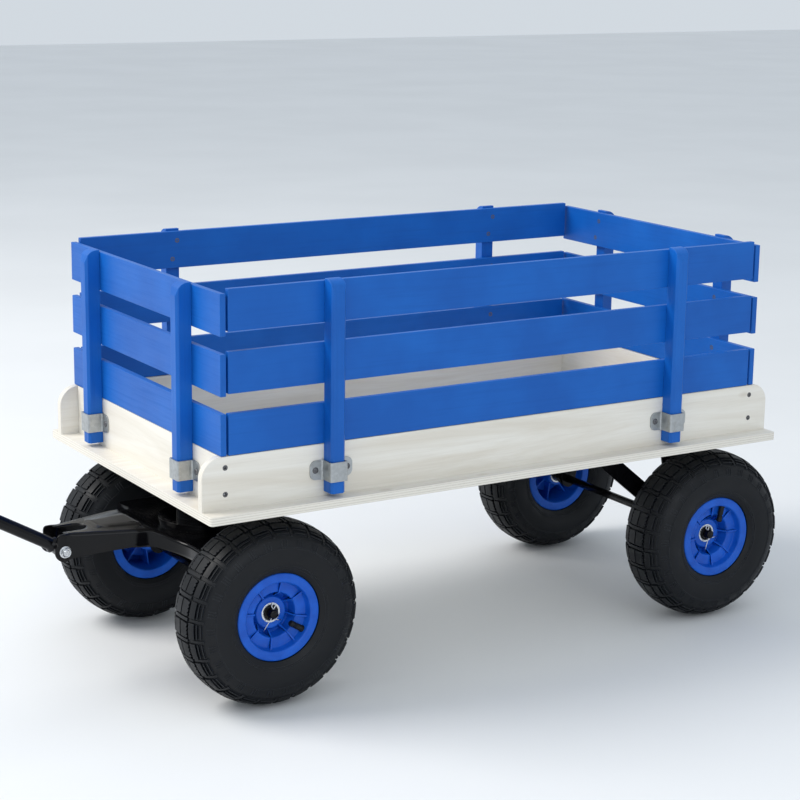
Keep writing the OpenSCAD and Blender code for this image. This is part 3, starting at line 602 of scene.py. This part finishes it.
def make_straps_and_screws():
    deck_low, deck_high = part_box("deck")
    middle = (deck_low.x + deck_high.x) / 2
    side_face, end_face = 244 * MM, 452 * MM
    pan = cross_recess_head(4.4 * MM, 2.1 * MM, 1.1 * MM)
    flush = cross_recess_head(3.8 * MM, 0.35 * MM, 0.9 * MM)
    straps = {"side": [], "end": []}
    pans, corners = [], []
    for panel in PANELS:
        places, _, _, _ = stake_spots(panel)
        side = panel in ("left", "right")
        sign = 1 if panel in ("left", "front") else -1
        face = sign * side_face if side else middle + sign * end_face
        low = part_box("side_pockets" if side else "end_pockets")[0].z
        for p in places:
            at = outward(panel, p, face, low)
            straps["side" if side else "end"].append(moved(strap(), at))
            for s in (-1, 1):
                turn = Matrix.Rotation(math.radians(random.uniform(0, 90)), 4, "Y")
                spot = at @ Matrix.Translation((s * 24.5 * MM, 2.2 * MM, 13.5 * MM))
                pans.append(moved(pan, spot @ turn))
        heads = []
        for level, (low_z, high_z) in enumerate(slat_heights(panel)):
            for p in places:
                inner = outward(panel, p, face, (low_z + high_z) / 2) @ Matrix.Translation((0, -8.2 * MM, 0))
                for s in (-1, 1):
                    spot = inner @ Matrix.Translation((s * 4 * MM, 0, s * 14 * MM))
                    heads.append(moved(flush, spot @ Matrix.Rotation(math.pi, 4, "Z")))
        piece(f"{panel}_slat_screw_heads", *joined(*heads), f"{panel}_panel", "zinc_screw",
              DULL_ZINC, f"{panel}_slat_screws")
    for kind, parts in straps.items():
        made = piece(f"{kind}_pocket_straps", *joined(*parts), "wagon_bed", "zinc_strap", STRAP_ZINC,
                     f"{kind}_pockets")
        sheet_thickness(made, 2 * MM)
        bevel(made, 0.35 * MM, 2, 50)
    for s in (-1, 1):
        for end in (-1, 1):
            for z in (314, 350):
                at = Matrix.Translation((middle + end * 446 * MM, s * side_face, z * MM))
                facing = Matrix.Rotation(0 if s > 0 else math.pi, 4, "Z")
                turn = Matrix.Rotation(math.radians(random.uniform(0, 90)), 4, "Y")
                corners.append(moved(flush, at @ facing @ turn))
    piece("pocket_screw_heads", *joined(*pans), "wagon_bed", "zinc_screw", DULL_ZINC, "pocket_screws")
    piece("corner_screw_heads", *joined(*corners), "wagon_bed", "zinc_screw", DULL_ZINC)


def slat_heights(panel):
    boxes = [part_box(f"{panel}_slat_{level}") for level in ("low", "mid", "top")]
    return [(low.z, high.z) for low, high in boxes]


# ---------------------------------------------------------------- wheels
# A wheel is made about the Y axis, +Y outboard, centre at the origin.

TYRE_R = 130 * MM
LUG = 4.2 * MM                      # height of the tread above the carcass
SIDE_RINGS = ((70, 0.7), (73, 0.7), (99, 0.8))      # raised rings on a sidewall: radius, height
HUB_FACES = ((12.5, 1), (30, -1))   # how far the bearings' outer faces stand from mid wheel, in mm
RIBS = 8


def tyre_wall(v):
    """the carcass: v runs from -1 at the inboard bead, over 0 at the crown, to 1; (radius, y)"""
    crown, bulge, foot = TYRE_R - LUG, 92 * MM, 62.8 * MM
    half, power, lowest = 45 * MM, 2 / 2.4, 40
    a = math.radians(90 - (90 + lowest) * abs(v))
    if a >= 0:
        r = bulge + (crown - bulge) * math.sin(a) ** power
    else:
        r = bulge - (bulge - foot) * (math.sin(-a) / math.sin(math.radians(lowest))) ** power
    return r, math.copysign(half * abs(math.cos(a)) ** power, v)


def carcass_table():
    """arc length from the crown along the carcass, with radius, y and outward normal"""
    rows, length = [], 0.0
    steps = 160
    for i in range(steps + 1):
        v = i / steps
        r, y = tyre_wall(v)
        r0, y0 = tyre_wall(max(v - 0.004, 0))
        r1, y1 = tyre_wall(min(v + 0.004, 1))
        if rows:
            length += math.hypot(r - rows[-1][1], y - rows[-1][2])
        t = Vector((r1 - r0, y1 - y0)).normalized()
        rows.append((length, r, y, -t.y if t.y < 0 else t.y, -t.x))
    return rows


CARCASS = carcass_table()


def on_carcass(across, around, lift):
    """a point at an arc length across from the crown and an angle round the wheel, lifted off"""
    s = abs(across)
    k = min(range(len(CARCASS)), key=lambda i: abs(CARCASS[i][0] - s))
    a, b = CARCASS[max(k - 1, 0)], CARCASS[min(k + 1, len(CARCASS) - 1)]
    f = (s - a[0]) / max(b[0] - a[0], 1e-9)
    r, y, nr, ny = (a[i] + (b[i] - a[i]) * f for i in (1, 2, 3, 4))
    r, y = r + nr * lift, y + ny * lift
    return (r * math.cos(around), math.copysign(y, across), r * math.sin(around))


def lug(outline, lift, draft=0.5 * MM):
    """a tread block from an outline of (across, along) in metres at the crown's radius"""
    cx = sum(p[0] for p in outline) / len(outline)
    cy = sum(p[1] for p in outline) / len(outline)
    n = len(outline)
    verts = []
    for level, grow in ((-1.0 * MM, draft), (lift, 0)):
        for x, y in outline:
            k = 1 + grow / math.hypot(x - cx, y - cy)
            verts.append(on_carcass(cx + (x - cx) * k, (cy + (y - cy) * k) / TYRE_R, level))
    faces = [(i, (i + 1) % n, (i + 1) % n + n, i + n) for i in range(n)]
    faces.append(tuple(range(n, 2 * n)))
    return verts, faces


def bar(x0, x1, y, half, lift):
    """a raised bar across the tread from x0 to x1, its middle at y along the crown"""
    columns = max(1, math.ceil(abs(x1 - x0) / (3 * MM)))
    verts = []
    for i in range(columns + 1):
        x = x0 + (x1 - x0) * i / columns
        for yy, level in ((y - half, -MM), (y - half, lift), (y, lift), (y + half, lift), (y + half, -MM)):
            verts.append(on_carcass(x, yy / TYRE_R, level))
    faces = [(5 * i + k, 5 * i + k + 1, 5 * i + k + 6, 5 * i + k + 5)
             for i in range(columns) for k in range(4)]
    last = 5 * columns
    return verts, faces + [(0, 1, 2, 3, 4), tuple(last + k for k in (4, 3, 2, 1, 0))]


def tread():
    """one pitch after another: a pair of blocks with toothed outer edges on each side of the
    middle groove, a bar across, a plain side block and thin ribs round the shoulder"""
    parts = []
    pitches = 27
    pitch = 2 * math.pi * TYRE_R / pitches
    half, teeth, tooth = 0.355 * pitch, 4, 2.3 * MM
    for i in range(pitches):
        y0 = i * pitch
        for s in (-1, 1):
            inner, outer = 1.3 * MM, 13.8 * MM
            block = [(inner, y0 + half), (inner, y0), (inner, y0 - half), (outer, y0 - half)]
            for k in range(teeth):
                y = y0 - half + 2 * half * (k + 0.5) / teeth
                block += [(outer + tooth, y - 0.4 * tooth), (outer + tooth, y + 0.5 * tooth),
                          (outer, y + 0.7 * tooth)]
            parts.append(lug([(s * x, y) for x, y in block], LUG))
            parts.append(bar(s * 18.8 * MM, s * 28 * MM, y0, 0.385 * pitch, 0.9 * LUG))
            parts.append(bar(s * 31 * MM, s * 32.5 * MM, y0, 0.36 * pitch, 0.8 * LUG))
            parts.append(bar(s * 36.5 * MM, s * 38 * MM, y0, 0.36 * pitch, 0.7 * LUG))
            parts.append(bar(s * 17.5 * MM, s * 41 * MM, y0 + pitch / 2, 0.07 * pitch, 0.45 * LUG))
            for k in (-1, 0, 1):
                parts.append(bar(s * 45 * MM, s * 56 * MM, y0 + k * 4.6 * MM, 0.8 * MM, 0.9 * MM))
        parts.append(bar(-16.5 * MM, 16.5 * MM, y0 + pitch / 2, 0.07 * pitch, 0.94 * LUG))
    return parts


def tyre_mesh():
    steps = 40
    outer = [tyre_wall(-1 + 2 * i / steps) for i in range(steps + 1)]
    inner = [(62.8, 32.3), (60, 32.2), (55, 27), (55, -27), (60, -32.2), (62.8, -32.3)]
    rings = []
    for r, height in SIDE_RINGS:
        for s in (-1, 1):
            k = min(CARCASS, key=lambda row: abs(row[1] - r * MM) + (0 if row[2] > 0 else 1))
            c, y = k[1], s * k[2]
            rings.append(lathe([(c + 0.9 * MM * math.cos(math.radians(t)),
                                 y + s * 0.2 * MM + height * 0.9 * MM * math.sin(math.radians(t)))
                                for t in range(0, 360, 60)], 96))
    return joined(lathe(outer + [(r * MM, y * MM) for r, y in inner], 128), *rings, *tread())


def rounded_profile(points, r, steps=3):
    """rounds each corner of a closed profile"""
    out = []
    n = len(points)
    for i, p in enumerate(points):
        p, a, b = Vector(p), Vector(points[i - 1]), Vector(points[(i + 1) % n])
        d = min(r, (a - p).length * 0.45, (b - p).length * 0.45)
        start, end = p + (a - p).normalized() * d, p + (b - p).normalized() * d
        for k in range(steps + 1):
            t = k / steps
            q = start * (1 - t) ** 2 + p * 2 * t * (1 - t) + end * t ** 2
            out.append((q.x, q.y))
    return out


def rim_mesh():
    """rolled flanges, a web near the outboard flange with a well round the hub, and ribs that
    climb from the hub to the flange"""
    profile = [(12.2, -29.8), (18.4, -29.8), (19, 1), (35.5, 1), (36.2, 20), (48.2, 20), (48.2, -34.6),
               (49.6, -36), (60.6, -36), (62, -34.8), (61.6, -32.5), (52, -32.2), (52, 32.2), (61.6, 32.5),
               (62, 34.8), (60.6, 36), (50.2, 36), (48.6, 34.4), (47.6, 27.6), (46.4, 24), (33, 24),
               (31.6, 22.6), (30.6, 5), (25.5, 5), (22, 12.3), (12.2, 12.3)]
    parts = [lathe(rounded_profile([(r * MM, y * MM) for r, y in profile], 1.1 * MM), 96)]
    outboard = [(20, 4), (23, 10.5), (32, 26.4), (48.9, 29), (48.9, 23), (31, 23), (30, 4)]
    inboard = [(18, 3), (18, -12), (48.9, -12), (48.9, 21), (35, 21), (35, 2)]
    for i in range(RIBS):
        turn = Matrix.Rotation(2 * math.pi * i / RIBS, 4, "Y")
        for outline, half in ((outboard, 1.25 * MM), (inboard, 1.2 * MM)):
            part = prism([(r * MM, y * MM) for r, y in outline], 2, -half, half)
            parts.append(moved(part, turn))
    return joined(*parts)


def valve_mesh():
    """rubber stem with a wide foot, a groove and a cap, all round +Y"""
    stem = [(0, 0), (5.2, 0), (5.0, 2.5), (4.2, 4), (4.2, 14), (3.4, 15), (3.4, 16.2), (4.2, 16.8),
            (4.2, 24.6), (3.4, 26), (0, 26)]
    return lathe([(r * MM, y * MM) for r, y in stem], 24, False)


def bearing_mesh():
    parts = []
    for face, s in HUB_FACES:
        ring = [(14.2, face), (11.5, face), (11.2, face - 0.4), (11.2, face - 8), (14.2, face - 8)]
        race = [(8.6, face), (6.45, face), (6.45, face - 8), (8.8, face - 8), (8.6, face - 0.5)]
        for profile in (ring, race):
            parts.append(lathe(rounded_profile([(r * MM, s * y * MM) for r, y in profile], 0.35 * MM), 64))
    return joined(*parts)


def seal_mesh():
    parts = []
    for face, s in HUB_FACES:
        profile = [(8.7, -0.6), (9.6, -0.4), (10.4, -0.7), (11.3, -0.5), (11.3, -2), (8.7, -2)]
        parts.append(lathe([(r * MM, s * (face + y) * MM) for r, y in profile], 64))
    return joined(*parts)


VALVE_TILT = 10                     # the stem's lean from the radius, in degrees
WHEEL_TURN = {"front_left": 147.5, "front_right": 240, "rear_left": 249.5, "rear_right": 120}


def make_wheels():
    shared = {}
    for name, turn in WHEEL_TURN.items():
        low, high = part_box(f"{name}_tyre")
        out = 1 if name.endswith("left") else -1
        centre = (low + high) / 2
        face = Matrix.Rotation(0 if out > 0 else math.pi, 4, "Z")
        at = Matrix.Translation(centre) @ face @ Matrix.Rotation(math.radians(turn), 4, "Y")
        lean = Matrix.Rotation(math.radians(90 - VALVE_TILT), 4, "Z")
        stem = Matrix.Translation((49 * MM, 26.4 * MM, 0)) @ lean
        kinds = (
            ("tyre", "tyre_tread", tyre_mesh, "tyre_rubber", RUBBER, ["tyre"], 0.55, None),
            ("rim", "rim_shell", rim_mesh, "rim_blue", PLASTIC, ["rim"], 0.5, None),
            ("bearings", "bearing_rings", bearing_mesh, "bearing_steel", BRIGHT_ZINC, ["bearings"], 0, None),
            ("seal", "bearing_seals", seal_mesh, "tube_rubber", SEAL, [], 0, None),
            ("valve", "valve_stem", valve_mesh, "tube_rubber", RUBBER, ["tube"], 0, stem),
        )
        for kind, label, make, slot, material, nodes, edge, extra in kinds:
            if kind not in shared:
                shared[kind] = make()
            half_rib = Matrix.Rotation(math.pi / RIBS, 4, "Y") if kind == "rim" else Matrix.Identity(4)
            made = piece(f"{name}_{label}", *shared[kind], f"{name}_wheel", slot, material,
                         [f"{name}_{n}" for n in nodes], True, at @ half_rib @ (extra or Matrix.Identity(4)))
            if edge:
                bevel(made, edge * MM, 2, 40)


# ---------------------------------------------------------------- axle ends


def hexagon_part(flats, height, hole=0.0):
    """a bolt head or nut about +Y, its corners cut by a cone"""
    sides = 48
    verts, faces = [], []
    chamfer = 0.9 * MM
    levels = ((0, False), (height - chamfer, False), (height, True))
    for y, cut in levels:
        for k in range(sides):
            a = 360 * k / sides
            r = flats / 2 / math.cos(math.radians((a % 60) - 30))
            if cut:
                r = min(r, flats / 2 * 0.97)
            elif y > 0:
                r = min(r, flats / 2 * 1.12)
            verts.append((r * math.cos(math.radians(a)), y, r * math.sin(math.radians(a))))
    verts += [(hole * math.cos(2 * math.pi * k / sides), height - (0.3 * MM if hole else 0),
               hole * math.sin(2 * math.pi * k / sides)) for k in range(sides)] if hole else []
    rows = len(verts) // sides
    for i in range(rows - 1):
        for k in range(sides):
            m = (k + 1) % sides
            faces.append((i * sides + k, i * sides + m, (i + 1) * sides + m, (i + 1) * sides + k))
    if not hole:
        faces.append(tuple((rows - 1) * sides + k for k in range(sides)))
    faces.append(tuple(range(sides))[::-1])
    return verts, faces


def washer_part(r, hole, y0, y1):
    profile = rounded_profile([(hole, y0), (r, y0), (r, y1), (hole, y1)], 0.35 * MM)
    return lathe(profile, 64)


def split_pin(r):
    """one wire bent into an eye, with both legs through the axle and spread wide below it"""
    legs = [[(0.7, -r + 2), (2.2, -r - 1.8), (7.6, -r - 10.5), (12.0, -r - 18.0)],
            [(-0.7, -r + 2), (-2.6, -r - 1.2), (-8.0, -r - 2.6), (-14.0, -r - 3.2)]]
    eye = [(x, z) for x, z in arc(0, r + 4.6, 2.8, 240, -60, 12)]
    path = legs[1][::-1] + [(-0.7, r)] + eye + [(0.7, r)] + legs[0]
    return tube([(x * MM, 0, z * MM) for x, z in path], 0.75 * MM, 10)


def make_axle_ends():
    r = 6.35 * MM
    for axle, body in (("front", "front_steering"), ("rear", "wagon_bed")):
        low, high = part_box(f"{axle}_axle")
        x, z, end = (low.x + high.x) / 2, (low.z + high.z) / 2, high.y
        parts, washers = [], []
        for s in (-1, 1):
            at = Matrix.Translation((x, 0, z)) @ Matrix.Rotation(0 if s > 0 else math.pi, 4, "Z")
            inner = (145.3 if axle == "front" else 149.5) * MM
            parts.append(moved(washer_part(10 * MM, 6.4 * MM, inner, 174.6 * MM), at))
            washers.append(moved(washer_part(10.0 * MM, 6.4 * MM, 217.9 * MM, 219.7 * MM), at))
            tilt = Matrix.Rotation(math.radians(-6 if axle == "front" else 14), 4, "Y")
            mirror = Matrix.Scale(-1 if s < 0 else 1, 4, (1, 0, 0))
            pin = moved(split_pin(6.35), tilt @ mirror)
            parts.append(moved(pin, at @ Matrix.Translation((0, 223 * MM, 0))))
        piece(f"{axle}_axle_fittings", *joined(*parts), body, "zinc_screw", BRIGHT_ZINC,
              f"{axle}_axle_ends")
        piece(f"{axle}_axle_washers", *joined(*washers), body, "black_steel", STEEL)
        bar = [(0, -end), (r - 1.2 * MM, -end), (r, -end + 1.2 * MM), (r, end - 1.2 * MM),
               (r - 1.2 * MM, end), (0, end)]
        piece(f"{axle}_axle_bar", *lathe(bar, 48, False), body, "black_steel", STEEL,
              f"{axle}_axle", True, Matrix.Translation((x, 0, z)))


# ---------------------------------------------------------------- metal work


def face_out(obj, inner):
    """turns an open sheet's faces so that they look away from an inner point"""
    mesh = obj.data
    inner = Vector(inner)
    total = sum(p.normal.dot(obj.matrix_world @ p.center - inner) * p.area for p in mesh.polygons)
    if total < 0:
        mesh.flip_normals()


def sheet_thickness(obj, thick):
    m = obj.modifiers.new("sheet", "SOLIDIFY")
    m.thickness = thick
    m.offset = -1


def between(table, x):
    """straight-line reading of a table of (x, value), x rising"""
    if x <= table[0][0]:
        return table[0][1]
    for (x0, v0), (x1, v1) in zip(table, table[1:]):
        if x <= x1:
            return v0 + (v1 - v0) * (x - x0) / (x1 - x0)
    return table[-1][1]


DRAWBAR_TOP = [(64, 205), (70, 205.7), (78, 208.4), (94, 217.4), (101, 220.7), (108, 222)]
FLANGE_LOW = [(67, 185), (98, 195), (130, 197), (172, 192), (209, 186), (218, 182.5)]
SLOT_X, SLOT_R, EAR_R = 192, 16, 14.5


def drawbar_stations():
    """the left edge of the sheet from the nose back, in mm: x, y, inward direction, low z, top z"""
    px, pz = 218, 197
    rows = []
    for a in (4, 14, 26, 38):
        x = px + EAR_R * math.cos(math.radians(a))
        rise = EAR_R * math.sin(math.radians(a))
        rows.append((x, 27.5, (0, -1), pz - rise, pz + rise))
    x = px + 10.5
    rise = math.sqrt(EAR_R ** 2 - 10.5 ** 2)
    rows.append((x, 27.5, (0, -1), pz - rise, pz + rise))
    for drop, back in ((5, 0.1), (2.6, 0.6), (1.0, 2.0), (0.3, 3.6), (0, 5.5)):
        xb = x - back
        rows.append((xb, 27.5, (0, -1), pz - math.sqrt(EAR_R ** 2 - (xb - px) ** 2), 222 - drop))
    rows.append((217.5, 27.5, (0, -1), 182.5, 222))
    rows.append((216.5, 27.5, (0, -1), 182.8, 222))
    rows.append((210, 27.5, (0, -1), 185.8, 222))
    lean = math.atan2(27.5, 88)
    slope = (-math.sin(lean), -math.cos(lean))
    cuts = sorted({SLOT_X - SLOT_R * math.sin(math.radians(b)) for b in range(0, 91, 10)}, reverse=True)
    for x in [204, 198] + cuts + [170, 166, 160, 150, 140, 130, 123]:
        rows.append((x, 27.5 + 27.5 * (210 - x) / 88, slope, between(FLANGE_LOW, x), 222))
    for i in range(1, 19):
        b = math.radians(270 - 90 * i / 18)
        x, y = 122 + 55 * math.cos(b), 110 + 55 * math.sin(b)
        rows.append((x, y, (math.cos(b), math.sin(b)), between(FLANGE_LOW, x), between(DRAWBAR_TOP, x)))
    rows.append((67, 139, (-1, 0), 185, 205))
    for b in range(15, 91, 15):
        c, d = math.cos(math.radians(b)), math.sin(math.radians(b))
        rows.append((61 + 6 * c, 139 + 6 * d, (-c, -d), 185 + 14 * b / 90, 205))
    rows.append((20, 145, (0, -1), 199.5, 205))
    rows.append((-67, 145, (0, -1), 199.5, 205))
    return rows


def slot_edge(x):
    """half width of the handle's slot at x, None where the sheet is whole"""
    if x <= SLOT_X - SLOT_R + 0.01:
        return None
    return math.sqrt(max(SLOT_R ** 2 - max(SLOT_X - x, 0) ** 2, 0))


def rib(x):
    """height and half width of the raised centre rib"""
    return between([(101, 0), (106, 1.7), (164, 1.7), (169, 0)], x), between([(105, 32), (166, 20)], x)


def drawbar_half(side):
    verts, faces, stations = [], [], drawbar_stations()
    flange_rows, bend_rows = 5, 6
    for x, y, (nx, ny), low, top in stations:
        ear = x > 217
        r = 2.4 if ear else between([(205, 5.5), (216, 2.4)], x)
        r = min(r, max(top - low - 0.5, 0.2))
        for k in range(flange_rows):
            verts.append((x, y, low + (top - r - low) * k / (flange_rows - 1)))
        for k in range(1, bend_rows + 1):
            b = math.radians(90 * k / bend_rows)
            inward = r * (1 - math.cos(b))
            verts.append((x + nx * inward, y + ny * inward, top - r + r * math.sin(b)))
        edge_x, edge_y = x + nx * r, y + ny * r
        slot = slot_edge(edge_x)
        height, half = rib(edge_x)
        inner = 0 if slot is None else slot
        span = [edge_y - (edge_y - inner) * k / 4 for k in range(1, 5)]
        if height > 0 and slot is None:
            span = [half + 2.2, half - 0.6, half * 0.5, 0]
        lift = [0, height, height, height]
        for yy, up in zip(span, lift):
            verts.append((edge_x, edge_y if ear else yy, top + up))
    n = flange_rows + bend_rows + 4
    for i in range(len(stations) - 1):
        if stations[i][0] < 217:
            columns = n - 1
        else:
            columns = flange_rows + bend_rows - 1
        for k in range(columns):
            a = i * n + k
            faces.append((a, a + 1, a + n + 1, a + n))
    verts = [(x * MM, side * y * MM, z * MM) for x, y, z in verts]
    return verts, faces


def make_drawbar():
    made = piece("drawbar_pressing", *joined(drawbar_half(1), drawbar_half(-1)), "front_steering",
                 "black_steel", STEEL, "drawbar")
    thin = bmesh.new()
    thin.from_mesh(made.data)
    bmesh.ops.dissolve_degenerate(thin, dist=1e-6, edges=thin.edges)
    bmesh.ops.delete(thin, geom=[f for f in thin.faces if f.calc_area() < 1e-9], context="FACES_ONLY")
    bmesh.ops.recalc_face_normals(thin, faces=thin.faces)
    thin.to_mesh(made.data)
    thin.free()
    made.data.shade_smooth()
    face_out(made, (0.12, 0, 0.150))
    sheet_thickness(made, 2.4 * MM)
    made.modifiers.new("normals", "WEIGHTED_NORMAL")
    disc = lathe(rounded_profile([(6.1, 204), (58, 204), (58, 209), (6.1, 209)], 0.6), 96)
    up = Matrix.Scale(MM, 4) @ Matrix.Rotation(math.radians(90), 4, "X")
    piece("turntable_lower_disc", *moved(disc, up), "front_steering", "black_steel", STEEL)


def make_pivot_bolt():
    low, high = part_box("pivot_bolt")
    centre = ((low.x + high.x) / 2, 0, (low.z + high.z) / 2)
    face = 27.7 * MM
    left = [washer_part(8.5 * MM, 5.1 * MM, face, face + 1.2 * MM)]
    nut = moved(hexagon_part(13 * MM, 4.8 * MM, 5 * MM), Matrix.Translation((0, face + 1.2 * MM, 0)))
    shank = [(0, -30), (5, -30), (5, 33), (4.2, 34.6), (0, 34.6)]
    thread = [(5 - 0.35 * (i % 2), 30 + 0.5 * i) for i in range(7)]
    shank = shank[:2] + thread + shank[3:]
    rod = lathe([(r * MM, y * MM) for r, y in shank], 32, False)
    mirror = Matrix.Rotation(math.pi, 4, "Z")
    head = moved(hexagon_part(13 * MM, 6.2 * MM), mirror @ Matrix.Translation((0, face + 1.2 * MM, 0)))
    right = moved(left[0], mirror)
    turn = Matrix.Rotation(math.radians(12), 4, "Y")
    made = piece("handle_pivot_bolt", *joined(*left, nut, rod, head, right), "front_steering", "zinc_screw",
                 BRIGHT_ZINC, "pivot_bolt", True, Matrix.Translation(centre) @ turn)
    bevel(made, 0.25 * MM, 2, 40)


CAD_KEPT = {
    "front_bolster": (STEEL, "black_steel", 0.5),
    "front_axle_bracket": (STEEL, "black_steel", 0.5),
    "rear_axle_bracket": (STEEL, "black_steel", 0.5),
    "rear_braces": (STEEL, "black_steel", 0.5),
    "kingpin": (BRIGHT_ZINC, "zinc_screw", 0.4),
    "bracket_bolts": (BRIGHT_ZINC, "zinc_screw", 0.2),
    "board_screws": (BRIGHT_ZINC, "zinc_screw", 0.15),
}


def dress_cad_nodes():
    """the hidden ironwork keeps its exact shape, with eased edges"""
    for name, (material, slot, width) in CAD_KEPT.items():
        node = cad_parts[name]
        node.data.materials.clear()
        node.data.materials.append(material)
        if "custom_normal" in node.data.attributes:
            node.data.attributes.remove(node.data.attributes["custom_normal"])
        node.data.shade_smooth()
        weld = node.modifiers.new("weld", "WELD")
        weld.merge_threshold = 0.02 * MM
        bevel(node, width * MM, 2, 35)


def make_handle():
    low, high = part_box("pivot_bolt")
    pivot = Vector(((low.x + high.x) / 2, 0, (low.z + high.z) / 2))
    at = Matrix.Translation(pivot) @ Matrix.Rotation(math.radians(-30), 4, "Y")
    length = 762.1
    x0, corner, half = length - 86, 24, 59
    to_x = Matrix.Rotation(math.radians(-90), 4, "Z")
    eye = lathe([(r * MM, y * MM) for r, y in rounded_profile(
        [(5.2, -24.5), (11, -24.5), (11, 24.5), (5.2, 24.5)], 1.0)], 48)
    rod = [(7.4, 8), (9, 8), (12.0, 9), (11.6, 10.5), (9.6, 13.0), (9, 14.5), (9, x0 - 9.5), (9.8, x0 - 8),
           (11.2, x0 - 5.5), (10.4, x0 - 3.2), (7.4, x0 - 2.6)]
    shaft = moved(lathe([(r * MM, x * MM) for r, x in rod], 48), to_x)
    piece("handle_tube", *joined(eye, shaft), "handle", "black_steel", STEEL, "handle_shaft", True, at)
    path = []
    for cx, cy, a in ((length - corner, half - corner, 90), (x0 + corner, half - corner, 180),
                      (x0 + corner, corner - half, 270), (length - corner, corner - half, 360)):
        path += [(x * MM, y * MM, 0) for x, y in arc(cx, cy, corner, a - 90, a, 10)]
    piece("handle_loop_rod", *tube(path, 6 * MM, 24, True), "handle", "black_steel", STEEL,
          "handle_loop", True, at)
    grip = [(6.1, -34), (12.2, -34), (13.6, -33.2), (14, -31.8), (14, -28.5)]
    for i in range(-4, 5):
        y = i * 6.2
        grip += [(14, y - 1.6), (13.1, y - 0.9), (13.1, y + 0.9), (14, y + 1.6)]
    grip += [(14, 28.5), (14, 31.8), (13.6, 33.2), (12.2, 34), (6.1, 34)]
    made = piece("handle_grip_sleeve", *lathe([(r * MM, y * MM) for r, y in grip], 64), "handle",
                 "grip_rubber", GRIP, "handle_grip", True,
                 at @ Matrix.Translation((length * MM, 0, 0)))
    bevel(made, 0.4 * MM, 2, 35)


# ---------------------------------------------------------------- floor and assembly


def make_floor():
    s = Shader("pale_floor", (0.80, 0.81, 0.82), 0.75)
    s.colour(s.mix(s.ramp(s.noise(1.4, 3), 0.35, 0.65), (0.80, 0.81, 0.82), (0.83, 0.84, 0.85)))
    mesh = bpy.data.meshes.new("floor")
    reach = 14.0
    mesh.from_pydata([(-reach, -reach, 0), (reach, -reach, 0), (reach, reach, 0), (-reach, reach, 0)], [],
                     [(0, 1, 2, 3)])
    mesh.materials.append(s.material)
    floor = bpy.data.objects.new("floor", mesh)
    floor.location.z = -0.5 * MM
    bpy.context.scene.collection.objects.link(floor)


random.seed(20)
make_camera()
make_light()
make_floor()
make_deck()
make_boards()
make_slats()
make_stakes()
make_straps_and_screws()
make_wheels()
make_axle_ends()
make_drawbar()
make_pivot_bolt()
make_handle()
dress_cad_nodes()
